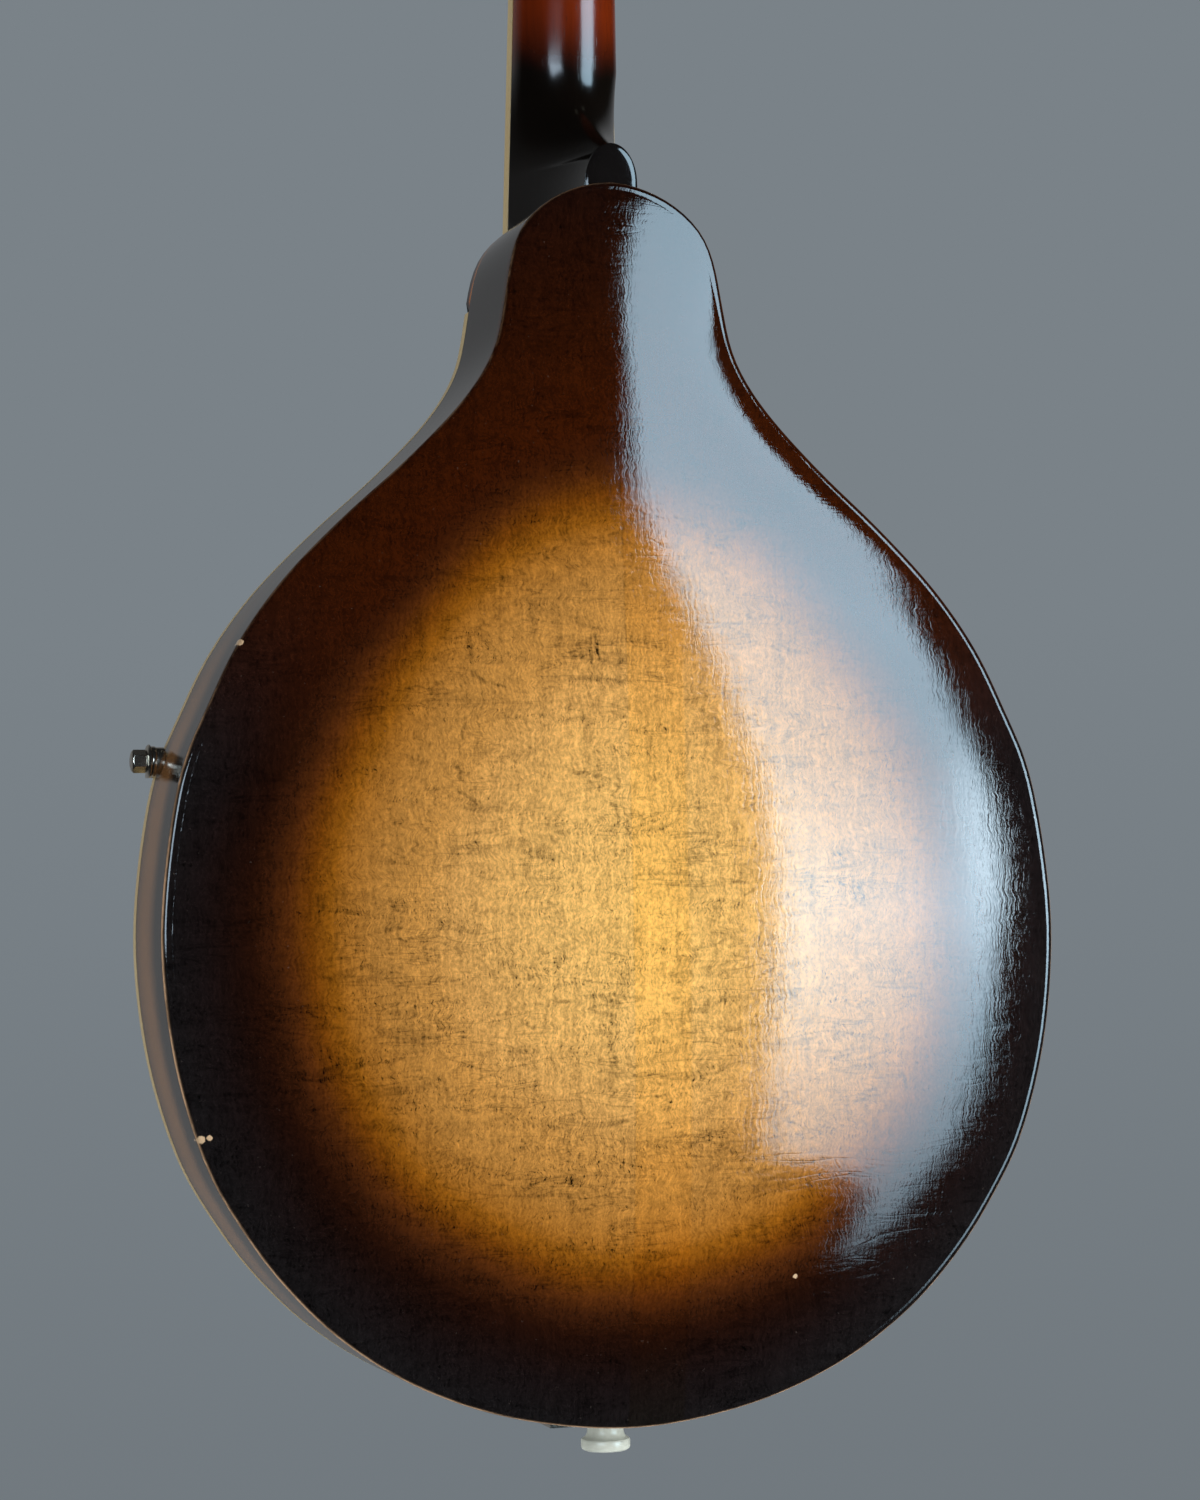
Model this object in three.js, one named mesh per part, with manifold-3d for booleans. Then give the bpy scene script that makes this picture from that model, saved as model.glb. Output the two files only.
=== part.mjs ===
// Mandola with a carved teardrop body, a set neck and eight strings in four courses.
// Millimetres. +Z runs up along the body to the headstock, the carved back faces +Y,
// the soundboard faces -Y and the treble side is +X.
// The origin lies in the middle of the neck under the nut, where a wall hanger holds it.

import * as THREE from 'three';
import { mergeVertices } from 'three/addons/utils/BufferGeometryUtils.js';
import Module from 'manifold-3d';

const wasm = await Module();
wasm.setup();

// Body
const bodyLength = 372;
const bodyWidth = 279.4;
const bodyDepth = 46;
const archCentreHeight = 150;
const backArch = 14;
const topArch = 14;
const archFullnessShare = 2.2;
const archRingShares = [0.16, 0.34, 0.52, 0.68, 0.82, 0.93];
const backEdgeThickness = 4;
const backCrownThickness = 5;
const topEdgeThickness = 4.5;
const topCrownThickness = 5.5;
const ribThickness = 2.2;
const bindingThickness = 1.6;
const bindingEndHeight = 339;
const liningThickness = 5;
const liningHeight = 7;
const neckBlockLength = 46;
const tailBlockLength = 28;
const tailBlockWidth = 92;
const glueGap = 0.25;
const clearGap = 0.4;
const cutOverrun = 20;
const smallSides = 8;

// Half outline of the body, from the tail to the neck: share of half the width, share of the length
const outlineShares = [
  [0, 0], [0.252, 0.012], [0.462, 0.04], [0.63, 0.08], [0.755, 0.126], [0.846, 0.173],
  [0.916, 0.2215], [0.974, 0.295], [1, 0.376], [0.991, 0.446], [0.956, 0.521], [0.9, 0.5715],
  [0.833, 0.622], [0.737, 0.6715], [0.608, 0.721], [0.466, 0.769], [0.342, 0.8175],
  [0.273, 0.859], [0.247, 0.903], [0.23, 0.938], [0.197, 0.965], [0.115, 0.989], [0, 1],
];

// Tone bars and sound holes
const toneBarThickness = 5.5;
const toneBarHeight = 11;
const toneBarLowHeight = 62;
const toneBarTopHeight = 268;
const toneBarLowOffset = 36;
const toneBarTopOffset = 22;
const holeLength = 92;
const holeOffset = 53;
const holeLeanShare = 0.16;
const holeCentreHeight = 152;
const holeStemWidth = 5.5;
const holeUpperRadius = 4.2;
const holeLowerRadius = 5.2;
// Centre line of a sound hole: share of its length across and along
const holeLineShares = [
  [-0.12, 0.4], [-0.11, 0.47], [-0.04, 0.5], [0.015, 0.44], [0.02, 0.25], [0, 0],
  [-0.02, -0.25], [-0.015, -0.44], [0.04, -0.5], [0.12, -0.47], [0.14, -0.4],
];
const holeWidthShares = [0.5, 0.35, 0.4, 0.7, 1, 1.1, 1, 0.7, 0.4, 0.35, 0.5];

// Neck and fingerboard
const scaleLength = 400;
const joinFretCount = 10;
const fretCount = 20;
const octaveFretCount = 12;
const neckAngle = THREE.MathUtils.degToRad(4);
const boardNutWidth = 28.6;
const boardJoinWidth = 36.2;
const boardThickness = 5;
const boardRise = 9.5;
const boardEndMargin = 5;
const boardBindingThickness = 1.5;
const fretWidth = 1.6;
const fretHeight = 1;
const neckDepthAtNut = 16;
const neckDepthAtHeel = 18;
const heelRise = 12;
const heelSweep = 34;
const heelSweepShare = 2.6;
const heelTaperShare = 0.9;
const heelCapWidth = 16.3;
const heelCapThickness = 2.4;
const heelNoseWidth = 0.8;
const heelStationShares = [0.06, 0.18, 0.36, 0.6, 1];
const heelCapShares = [0, 0.3, 0.6, 0.85];
const neckShaftShares = [0.3, 0.62];
const neckSideSteps = 6;
const tenonWidth = 18;
const tenonLength = 24;
const tenonMargin = 8;
const nutThickness = 5;
const nutHeight = 8.4;
const trussRodRadius = 2.4;
const trussNutRadius = 3.6;
const trussNutLength = 9;
const trussRodDepth = 6.2;
const trussChannelWidth = 6;
const trussChannelDepth = 9.4;
const trussPocketLength = 21;
const trussPocketWidth = 9;
const trussPocketDepth = 11;

// Headstock
const headAngle = THREE.MathUtils.degToRad(14);
const headDrop = 3.5;
const headThickness = 15;
const veneerThickness = 1.5;
const headLength = 132;
const headLowWidth = 31;
const headWaistWidth = 58;
const headTopWidth = 66;
const headFlareLength = 22;
const headFlareSteps = 5;
const headCrown = 7;
const headCrownSteps = 4;
const coverLength = 34;
const coverWidth = 16;
const coverThickness = 1.6;
// Half outline of the truss rod cover: share of its width, share of its length
const coverShares = [[0.5, 0], [0.5, 0.33], [0.31, 0.62], [0.21, 0.92], [0, 1]];

// Tuning machines
const sidePostCount = 4;
const postPitch = 23;
const firstPostHeight = 30;
const postSpacing = 44;
const postRadius = 3.1;
const postProjection = 14;
const postHoleRadius = 3.8;
const gearToothCount = 12;
const gearTipRadius = 5.5;
const gearRootRadius = 4.4;
const gearPitchRadius = 5.2;
const gearThickness = 2.6;
const gearTipShare = 0.34;
const wormRadius = 2;
const wormCrestRadius = 3;
const wormTurnCount = 2;
const wormSides = 8;
const wormCentreDistance = 7.95;
const plateThickness = 1.2;
const plateWidth = 15;
const plateMargin = 9;
const earThickness = 1.4;
const earHeight = 6.8;
const earWidth = 6;
const shaftRadius = 1.5;
const shaftHoleRadius = 2;
const axleStandoff = 3.6;
const keyReach = 17;
const buttonLength = 13;
const buttonWidth = 14;
const buttonDepth = 8;
// Shape of a button: share of its length, share of its width
const buttonShares = [[0.02, 0.42], [0.3, 0.96], [0.62, 1], [0.92, 0.66], [1, 0.3]];

// Bridge
const bridgeLength = 112;
const bridgeDepth = 10;
const bridgeBaseHeight = 6.2;
const bridgeTipHeight = 3;
const bridgePadMargin = 2.4;
const studSpacing = 68;
const studRadius = 2;
const studClearance = 0.35;
const wheelRadius = 6;
const wheelThickness = 2.2;
const wheelSides = 12;
const wheelLift = 1.3;
const saddleLength = 94;
const saddleCrestLength = 48;
const saddleThickness = 6;
const saddleTopThickness = 4;
const saddleHeight = 7;
const saddleTipHeight = 3.4;
const bridgeAction = 4.6;

// Strings
const stringRadii = [0.6, 0.6, 0.42, 0.42, 0.27, 0.27, 0.19, 0.19];
const stringSides = 6;
const nutAction = 1.2;
const courseSpacingAtNut = 7;
const courseSpacingAtBridge = 13.4;
const courseSpacingAtHooks = 8.3;
const pairSpacingAtNut = 2.5;
const pairSpacingAtBridge = 3.6;
const stringWrapHeight = 8;
const wrapSteps = 8;

// Tailpiece
const tailpieceLength = 80;
const tailpieceWidth = 42;
const tailpieceLegLength = 26;
const sheetThickness = 1.2;
const tailpieceStandoff = 1;
const tailpieceEndRise = 14.5;
const hookPlace = 68;
const hookWidth = 2;
const hookHeight = 3.6;
const tailCoverHeight = 9;
const tailCoverTailHeight = 4.6;
const tailCoverOverhang = 4;
const tailCoverArcShare = 0.5;
// Rise of the cover along its length: share of the length, share of the rise
const tailCoverShares = [[0, 0], [0.24, 0.6], [0.67, 1], [1, 1]];

// End pin
const pinWaistRadius = 5.5;
const pinFlangeRadius = 7.5;
const pinProjection = 9;
const pinFlangeThickness = 3;
const pinChamfer = 1.2;
const pinStemRadius = 3.6;
const pinStemLength = 22;
const pinSides = 20;
const pinOffsetFromTop = 15;

// Pickguard and its bracket
const guardWidth = 54.4;
const guardThickness = 1.8;
const guardDrop = 1;
const bracketHeight = 199;
const bracketWidth = 9;
const boltDepth = 8;
const boltRadius = 2;
const boltHeadRadius = 4;
const boltHeadLength = 5;
const boltHeadSides = 6;
const washerRadius = 5.7;
const washerThickness = 1.4;
const boltEmbed = 7;
const bracketLegLength = 13;
const bracketPadThickness = 3.4;
const bracketReach = 64;
const bracketFootLength = 14;
// Outline of the guard: share of its width out from the board's edge, share of the scale down from the nut
const guardShares = [
  [0, 0.545], [0.13, 0.56], [0.3, 0.605], [0.52, 0.655], [0.8, 0.7], [0.97, 0.745], [1, 0.79],
  [0.92, 0.85], [0.68, 0.905], [0.353, 0.945], [0.118, 0.95], [0.06, 0.86], [0.022, 0.72],
];

// Sums that place one piece from another
const halfWidth = bodyWidth / 2;
const joinDistance = fretDistance(joinFretCount);
const boardLength = fretDistance(fretCount) + boardEndMargin;
const trussRodLength = joinDistance;
const nutFace = -(boardThickness + neckDepthAtNut) / 2;
const joinFace = nutFace - joinDistance * Math.sin(neckAngle);
const frontPlane = joinFace + boardRise;
const backPlane = frontPlane + bodyDepth;
const bodyTop = -joinDistance * Math.cos(neckAngle);
const bodyBottom = bodyTop - bodyLength;

const finishes = {
  burst: { color: 0xb07a38, roughness: 0.25, metalness: 0 },
  spruce: { color: 0xb8863c, roughness: 0.28, metalness: 0 },
  ribs: { color: 0x2a1510, roughness: 0.3, metalness: 0 },
  bareWood: { color: 0xc9a572, roughness: 0.75, metalness: 0 },
  neckWood: { color: 0x2d120b, roughness: 0.25, metalness: 0 },
  celluloid: { color: 0xe2d3a4, roughness: 0.4, metalness: 0 },
  blackPlastic: { color: 0x0d0c0c, roughness: 0.2, metalness: 0 },
  rosewood: { color: 0x241812, roughness: 0.55, metalness: 0 },
  bone: { color: 0xe6dcc0, roughness: 0.45, metalness: 0 },
  ebony: { color: 0x151211, roughness: 0.45, metalness: 0 },
  nickel: { color: 0xb9b4a8, roughness: 0.28, metalness: 1 },
  steel: { color: 0x8f8f90, roughness: 0.4, metalness: 1 },
  ivoroid: { color: 0xe4dfcc, roughness: 0.35, metalness: 0 },
  pinPlastic: { color: 0xdfe6d8, roughness: 0.35, metalness: 0 },
  tortoise: { color: 0x3a1608, roughness: 0.2, metalness: 0 },
  bronze: { color: 0xa8764a, roughness: 0.4, metalness: 1 },
};

const mandola = new THREE.Group();
const neckGroup = new THREE.Group();
neckGroup.position.set(0, nutFace, 0);
neckGroup.rotation.x = -neckAngle;
mandola.add(neckGroup);
const headGroup = new THREE.Group();
headGroup.position.set(0, headDrop, nutThickness + 2 * glueGap);
headGroup.rotation.x = -headAngle;
neckGroup.add(headGroup);
mandola.updateMatrixWorld(true);

function fretDistance(fret) {
  return scaleLength * (1 - 2 ** (-fret / octaveFretCount));
}

function piece(name, geometry, finish, parent = mandola) {
  const mesh = new THREE.Mesh(geometry, new THREE.MeshStandardMaterial(finishes[finish]));
  mesh.name = name;
  parent.add(mesh);
  return mesh;
}

// Solids

function newell(ring) {
  const normal = new THREE.Vector3();
  ring.forEach((point, index) => {
    const next = ring[(index + 1) % ring.length];
    normal.x += (point.y - next.y) * (point.z + next.z);
    normal.y += (point.z - next.z) * (point.x + next.x);
    normal.z += (point.x - next.x) * (point.y + next.y);
  });
  return normal.normalize();
}

// Triangles that close a flat ring, all turned the way the ring runs
function capFaces(ring) {
  const normal = newell(ring);
  const leansAcross = Math.abs(normal.x) > Math.abs(normal.y);
  const helper = leansAcross ? new THREE.Vector3(0, 1, 0) : new THREE.Vector3(1, 0, 0);
  const across = new THREE.Vector3().crossVectors(helper, normal).normalize();
  const up = new THREE.Vector3().crossVectors(normal, across);
  const flat = ring.map((point) => new THREE.Vector2(point.dot(across), point.dot(up)));
  return THREE.ShapeUtils.triangulateShape(flat, []).map(([a, b, c]) => {
    const first = new THREE.Vector2().subVectors(flat[b], flat[a]);
    const second = new THREE.Vector2().subVectors(flat[c], flat[a]);
    const turn = first.cross(second);
    return turn > 0 ? [a, b, c] : [a, c, b];
  });
}

// A closed skin over rings of points. A ring of one point is a pole.
function loft(rings) {
  const positions = [];
  const faces = [];
  const starts = [];
  rings.forEach((ring) => {
    starts.push(positions.length / 3);
    ring.forEach((point) => positions.push(point.x, point.y, point.z));
  });
  for (let level = 0; level < rings.length - 1; level += 1) {
    const low = rings[level].length;
    const high = rings[level + 1].length;
    const count = Math.max(low, high);
    for (let step = 0; step < count; step += 1) {
      const next = (step + 1) % count;
      const lowHere = starts[level] + (low === 1 ? 0 : step);
      const lowNext = starts[level] + (low === 1 ? 0 : next);
      const highHere = starts[level + 1] + (high === 1 ? 0 : step);
      const highNext = starts[level + 1] + (high === 1 ? 0 : next);
      if (low > 1) faces.push([lowHere, lowNext, highHere]);
      if (high > 1) faces.push([lowNext, highNext, highHere]);
    }
  }
  const last = rings.length - 1;
  if (rings[0].length > 1) capFaces(rings[0]).forEach(([a, b, c]) => faces.push([a, c, b]));
  if (rings[last].length > 1) {
    const start = starts[last];
    capFaces(rings[last]).forEach(([a, b, c]) => faces.push([a + start, b + start, c + start]));
  }
  const corner = (index) => new THREE.Vector3().fromArray(positions, index * 3);
  const volume = faces.reduce((sum, [a, b, c]) => sum + corner(a).dot(corner(b).cross(corner(c))), 0);
  const geometry = new THREE.BufferGeometry();
  geometry.setAttribute('position', new THREE.Float32BufferAttribute(positions, 3));
  geometry.setIndex(faces.flatMap(([a, b, c]) => (volume > 0 ? [a, b, c] : [a, c, b])));
  return geometry;
}

function solidOf(geometry) {
  const bare = geometry.clone();
  bare.deleteAttribute('normal');
  bare.deleteAttribute('uv');
  const merged = mergeVertices(bare);
  const vertProperties = new Float32Array(merged.attributes.position.array);
  const triVerts = new Uint32Array(merged.index.array);
  return new wasm.Manifold(new wasm.Mesh({ numProp: 3, vertProperties, triVerts }));
}

function geometryOf(solid) {
  const mesh = solid.getMesh();
  const geometry = new THREE.BufferGeometry();
  geometry.setAttribute('position', new THREE.BufferAttribute(new Float32Array(mesh.vertProperties), 3));
  geometry.setIndex(new THREE.BufferAttribute(new Uint32Array(mesh.triVerts), 1));
  return geometry;
}

function join(first, ...others) {
  return geometryOf(others.reduce((solid, other) => solid.add(solidOf(other)), solidOf(first)));
}

function cut(first, ...others) {
  return geometryOf(others.reduce((solid, other) => solid.subtract(solidOf(other)), solidOf(first)));
}

function common(first, second) {
  return geometryOf(solidOf(first).intersect(solidOf(second)));
}

// A block between two corners, given as [low, high] on each axis
function block([left, right], [front, back], [low, high]) {
  const geometry = new THREE.BoxGeometry(right - left, back - front, high - low);
  geometry.translate((left + right) / 2, (front + back) / 2, (low + high) / 2);
  return geometry;
}

function shapeOf(points) {
  return new THREE.Shape(points.map((point) => new THREE.Vector2(point.x, point.y)));
}

// A flat outline in x and z, given its thickness in y
function slab(points, [front, back], holes = []) {
  const shape = shapeOf(points);
  shape.holes = holes.map((hole) => new THREE.Path(hole.map((point) => new THREE.Vector2(point.x, point.y))));
  const geometry = new THREE.ExtrudeGeometry(shape, { depth: back - front, bevelEnabled: false, steps: 1 });
  geometry.rotateX(Math.PI / 2);
  geometry.translate(0, back, 0);
  return geometry;
}

// A rod along y with its own centre and ends
function rod(radius, [front, back], x, z, sides) {
  const geometry = new THREE.CylinderGeometry(radius, radius, back - front, sides);
  geometry.translate(x, (front + back) / 2, z);
  return geometry;
}

// A strip of sheet bent along a line, as an outline around that line
function strip(line, thickness) {
  const side = (sign) => line.map((point, index) => {
    const before = line[Math.max(index - 1, 0)];
    const after = line[Math.min(index + 1, line.length - 1)];
    const inward = new THREE.Vector2().subVectors(point, before).normalize();
    const outward = new THREE.Vector2().subVectors(after, point).normalize();
    const along = new THREE.Vector2().addVectors(inward, outward).normalize();
    const stretch = 1 / Math.max(along.dot(index === 0 ? outward : inward), 1 / 2);
    const reach = (sign * stretch * thickness) / 2;
    return new THREE.Vector2(point.x - along.y * reach, point.y + along.x * reach);
  });
  return [...side(1), ...side(-1).reverse()];
}

// A round bar through a row of points, with a flat end at each
function bar(points, radius, sides) {
  const across = new THREE.Vector3(1, 0, 0);
  const rings = points.map((point, index) => {
    const before = points[Math.max(index - 1, 0)];
    const after = points[Math.min(index + 1, points.length - 1)];
    const inward = new THREE.Vector3().subVectors(point, before).normalize();
    const outward = new THREE.Vector3().subVectors(after, point).normalize();
    const along = new THREE.Vector3().addVectors(inward, outward).normalize();
    across.addScaledVector(along, -across.dot(along)).normalize();
    const over = new THREE.Vector3().crossVectors(along, across);
    return Array.from({ length: sides }, (_, step) => {
      const angle = (2 * Math.PI * step) / sides;
      return point.clone()
        .addScaledVector(across, radius * Math.cos(angle))
        .addScaledVector(over, radius * Math.sin(angle));
    });
  });
  return loft(rings);
}

// Body outline, as points in x and z that run once round

const halfOutline = outlineShares.map(([x, z]) => (
  new THREE.Vector2(x * halfWidth, bodyBottom + z * bodyLength)
));
const mirrored = halfOutline.slice(1, -1).reverse().map((point) => new THREE.Vector2(-point.x, point.y));
const outline = [...halfOutline, ...mirrored];
const archCentre = new THREE.Vector2(0, bodyBottom + archCentreHeight);

function inset(points, distance) {
  return points.map((point, index) => {
    const before = points[(index + points.length - 1) % points.length];
    const after = points[(index + 1) % points.length];
    const inward = new THREE.Vector2().subVectors(point, before).normalize();
    const outward = new THREE.Vector2().subVectors(after, point).normalize();
    const along = inward.clone().add(outward).normalize();
    const reach = distance / along.dot(inward);
    return new THREE.Vector2(point.x - along.y * reach, point.y + along.x * reach);
  });
}

// How far the outline reaches to each side at a place along z
function reachAt(z) {
  const index = halfOutline.findIndex((point) => point.y > z);
  if (index < 1) return 0;
  const low = halfOutline[index - 1];
  const high = halfOutline[index];
  return low.x + ((high.x - low.x) * (z - low.y)) / (high.y - low.y);
}

// A carved swell: flat in the middle, steepest at the edge
function swell(share) {
  return 1 - Math.min(share, 1) ** archFullnessShare;
}

// Share of the full arch at a place: the long arch times the cross arch
function archShare(x, z) {
  const end = z > archCentre.y ? bodyTop : bodyBottom;
  const reach = reachAt(z);
  const across = reach > 0 ? Math.abs(x) / reach : 1;
  return swell(Math.abs((z - archCentre.y) / (end - archCentre.y))) * swell(across);
}

// Rings of an arched surface: its crown, then wider and wider to the outline
function archRings(edge, height, plane, side) {
  const crown = [new THREE.Vector3(archCentre.x, plane + side * height, archCentre.y)];
  const rings = archRingShares.map((share) => edge.map((point) => {
    const place = archCentre.clone().lerp(point, share);
    return new THREE.Vector3(place.x, plane + side * height * archShare(place.x, place.y), place.y);
  }));
  const rim = edge.map((point) => new THREE.Vector3(point.x, plane, point.y));
  return [crown, ...rings, rim];
}

// An arched plate: outer face, edge and hollowed inner face
function plate(outer, inner) {
  return loft([...outer, ...inner.slice().reverse()]);
}

const ribInside = inset(outline, ribThickness);
const outerBack = archRings(outline, backArch, backPlane, 1);
const outerTop = archRings(outline, topArch, frontPlane, -1);
const topInnerPlane = frontPlane + topEdgeThickness;
const backInnerPlane = backPlane - backEdgeThickness;
const topInnerArch = topArch + topEdgeThickness - topCrownThickness;
const backInnerArch = backArch + backEdgeThickness - backCrownThickness;
const innerTop = archRings(outline, topInnerArch, topInnerPlane, -1);
const innerBack = archRings(outline, backInnerArch, backInnerPlane, 1);

// The whole body's outside, grown by a gap, as a tool that fits other pieces to it
function bodyEnvelope(gap) {
  const edge = inset(outline, -gap);
  const back = archRings(edge, backArch, backPlane + gap, 1);
  const front = archRings(edge, topArch, frontPlane - gap, -1);
  return plate(back, front);
}

const envelope = bodyEnvelope(glueGap);
const bodyMiddle = (frontPlane + backPlane) / 2;
const wide = bodyWidth;
const farAcross = [-wide, wide];
const farThrough = [frontPlane - wide, backPlane + wide];

// The pickguard bolt lies along x, through the treble rib and the lining behind it

const boltHeight = bodyBottom + bracketHeight;
const boltPlace = frontPlane + boltDepth;
const boltFace = reachAt(boltHeight);

function boltRod(radius, [left, right], sides) {
  const geometry = new THREE.CylinderGeometry(radius, radius, right - left, sides);
  geometry.rotateZ(Math.PI / 2);
  geometry.translate((left + right) / 2, boltPlace, boltHeight);
  return geometry;
}

function bracketBore() {
  const ends = [boltFace - boltEmbed - cutOverrun, boltFace + cutOverrun];
  return boltRod(boltRadius + glueGap, ends, smallSides);
}

// Plates

const pinPlace = frontPlane + pinOffsetFromTop;
const tenonThrough = [frontPlane + tenonMargin, backPlane - tenonMargin];
const tenonTop = bodyTop + clearGap + heelRise / 2;

function makePlates() {
  piece('back_plate', plate(outerBack, innerBack), 'burst');
  const bindingInside = inset(outline, bindingThickness);
  const bindingBack = frontPlane + topEdgeThickness;
  const bindingRing = slab(outline, [frontPlane, bindingBack], [bindingInside]);
  const belowEnd = block(farAcross, farThrough, [bodyBottom - wide, bodyBottom + bindingEndHeight]);
  piece('top_binding', common(bindingRing, belowEnd), 'celluloid');
  const rabbetRing = slab(
    inset(outline, -cutOverrun),
    [frontPlane - cutOverrun, bindingBack + cutOverrun],
    [inset(outline, bindingThickness + glueGap)],
  );
  const rabbetTop = bodyBottom + bindingEndHeight + glueGap;
  const rabbetEnd = block(farAcross, farThrough, [bodyBottom - wide, rabbetTop]);
  const rabbet = common(rabbetRing, rabbetEnd);
  const holes = [1, -1].map(soundHole);
  piece('top_plate', cut(plate(outerTop, innerTop), rabbet, ...holes), 'spruce');
}

// Cutter for one sound hole, on the treble side for +1 and the bass side for -1
function soundHole(side) {
  const line = new THREE.CatmullRomCurve3(holeLineShares.map(([x, z]) => {
    const across = (x - holeLeanShare * z) * holeLength;
    return new THREE.Vector3(side * (holeOffset + across), bodyBottom + holeCentreHeight + z * holeLength, 0);
  }));
  const spans = holeLineShares.length - 1;
  const places = Array.from({ length: spans + 1 }, (_, index) => line.getPoint(index / spans));
  const flanks = (sign) => places.map((place, index) => {
    const along = line.getTangent(index / spans);
    const reach = (sign * holeWidthShares[index] * holeStemWidth) / 2;
    return new THREE.Vector2(place.x - along.y * reach, place.y + along.x * reach);
  });
  const stem = [...flanks(1), ...flanks(-1).reverse()];
  const through = [frontPlane - wide / 2, bodyMiddle];
  const upper = rod(holeUpperRadius, through, places[0].x, places[0].y, smallSides);
  const lower = rod(holeLowerRadius, through, places[spans].x, places[spans].y, smallSides);
  return join(slab(stem, through), upper, lower);
}

// Ribs, blocks and linings

function makeRim() {
  const ribFront = topInnerPlane + glueGap;
  const ribBack = backInnerPlane - glueGap;
  const ring = slab(outline, [ribFront, ribBack], [ribInside]);
  const tenonSlot = block(
    [-tenonWidth / 2 - clearGap, tenonWidth / 2 + clearGap],
    farThrough,
    [bodyTop - tenonLength, bodyTop + cutOverrun],
  );
  const stemHole = endPinStem(clearGap);
  [['rib_treble', 1], ['rib_bass', -1]].forEach(([name, side]) => {
    const half = block(sideSpan(side, glueGap / 2), farThrough, [bodyBottom - wide, bodyTop + wide]);
    piece(name, cut(common(ring, half), tenonSlot, stemHole, bracketBore()), 'ribs');
  });
  const blockOutline = inset(outline, ribThickness + glueGap);
  const filled = slab(blockOutline, [ribFront, ribBack]);
  const neckBlockLow = bodyTop - neckBlockLength;
  const tailBlockHigh = bodyBottom + tailBlockLength;
  const neckEnd = block(farAcross, farThrough, [neckBlockLow, bodyTop + wide]);
  const tailAcross = [-tailBlockWidth / 2, tailBlockWidth / 2];
  const tailEnd = block(tailAcross, farThrough, [bodyBottom - wide, tailBlockHigh]);
  piece('neck_block', cut(common(filled, neckEnd), neckTenon(glueGap), tenonMouth()), 'bareWood');
  piece('tail_block', cut(common(filled, tailEnd), stemHole), 'bareWood');
  const liningInside = inset(outline, ribThickness + glueGap + liningThickness);
  const layers = [
    ['lining_top', [ribFront, ribFront + liningHeight]],
    ['lining_back', [ribBack - liningHeight, ribBack]],
  ];
  const clearOfBlocks = [
    block(farAcross, farThrough, [neckBlockLow - glueGap, bodyTop + wide]),
    block(
      [-tailBlockWidth / 2 - glueGap, tailBlockWidth / 2 + glueGap],
      farThrough,
      [bodyBottom - wide, tailBlockHigh + glueGap],
    ),
  ];
  layers.forEach(([name, through]) => {
    const band = slab(blockOutline, through, [liningInside]);
    [['treble', 1], ['bass', -1]].forEach(([label, side]) => {
      const half = block(sideSpan(side, 0), farThrough, [bodyBottom - wide, bodyTop + wide]);
      piece(`${name}_${label}`, cut(common(band, half), ...clearOfBlocks, bracketBore()), 'bareWood');
    });
  });
}

// The treble half of space for +1, the bass half for -1, from a gap off the middle
function sideSpan(side, gap) {
  return side > 0 ? [gap, wide] : [-wide, -gap];
}

function makeToneBars() {
  const hollowFront = archRings(outline, topInnerArch, topInnerPlane + glueGap, -1);
  const hollowBack = archRings(outline, backInnerArch, backInnerPlane - glueGap, 1);
  const hollow = plate(hollowBack, hollowFront);
  [['tone_bar_treble', 1], ['tone_bar_bass', -1]].forEach(([name, side]) => {
    const ends = [[toneBarLowOffset, toneBarLowHeight], [toneBarTopOffset, toneBarTopHeight]];
    const foot = ends.map(([x, height]) => new THREE.Vector2(side * x, bodyBottom + height));
    const outlinePoints = strip(foot, toneBarThickness);
    const tall = slab(outlinePoints, [frontPlane - topArch, topInnerPlane + toneBarHeight]);
    const lift = archRings(outline, topInnerArch, topInnerPlane + toneBarHeight, -1);
    const under = plate(archRings(outline, backInnerArch, backPlane + wide, 1), lift);
    piece(name, cut(common(tall, hollow), under), 'bareWood');
  });
}

// End pin

function endPinStem(gap) {
  const geometry = new THREE.CylinderGeometry(
    pinStemRadius + gap, pinStemRadius + gap, pinStemLength + cutOverrun, pinSides,
  );
  geometry.rotateX(Math.PI / 2);
  geometry.translate(0, pinPlace, bodyBottom + (pinStemLength - cutOverrun) / 2 + gap);
  return geometry;
}

function makeEndPin() {
  const seat = -sheetThickness - 2 * glueGap;
  const end = seat - pinProjection;
  const profile = [
    [0, end], [pinFlangeRadius - pinChamfer, end], [pinFlangeRadius, end + pinChamfer],
    [pinFlangeRadius, end + pinFlangeThickness], [pinWaistRadius, end + pinFlangeThickness + pinChamfer],
    [pinWaistRadius, seat], [pinStemRadius, seat], [pinStemRadius, pinStemLength], [0, pinStemLength],
  ];
  const geometry = new THREE.LatheGeometry(profile.map(([r, z]) => new THREE.Vector2(r, z)), pinSides);
  geometry.rotateX(Math.PI / 2);
  const mesh = piece('end_pin', geometry, 'pinPlastic');
  mesh.position.set(0, pinPlace, bodyBottom);
}

// Neck

function boardHalfWidth(distance) {
  return (boardNutWidth + ((boardJoinWidth - boardNutWidth) * distance) / joinDistance) / 2;
}

const neckSeat = boardThickness + glueGap;
const capDepth = neckSeat + (backPlane - joinFace - boardThickness) / Math.cos(neckAngle);

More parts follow.
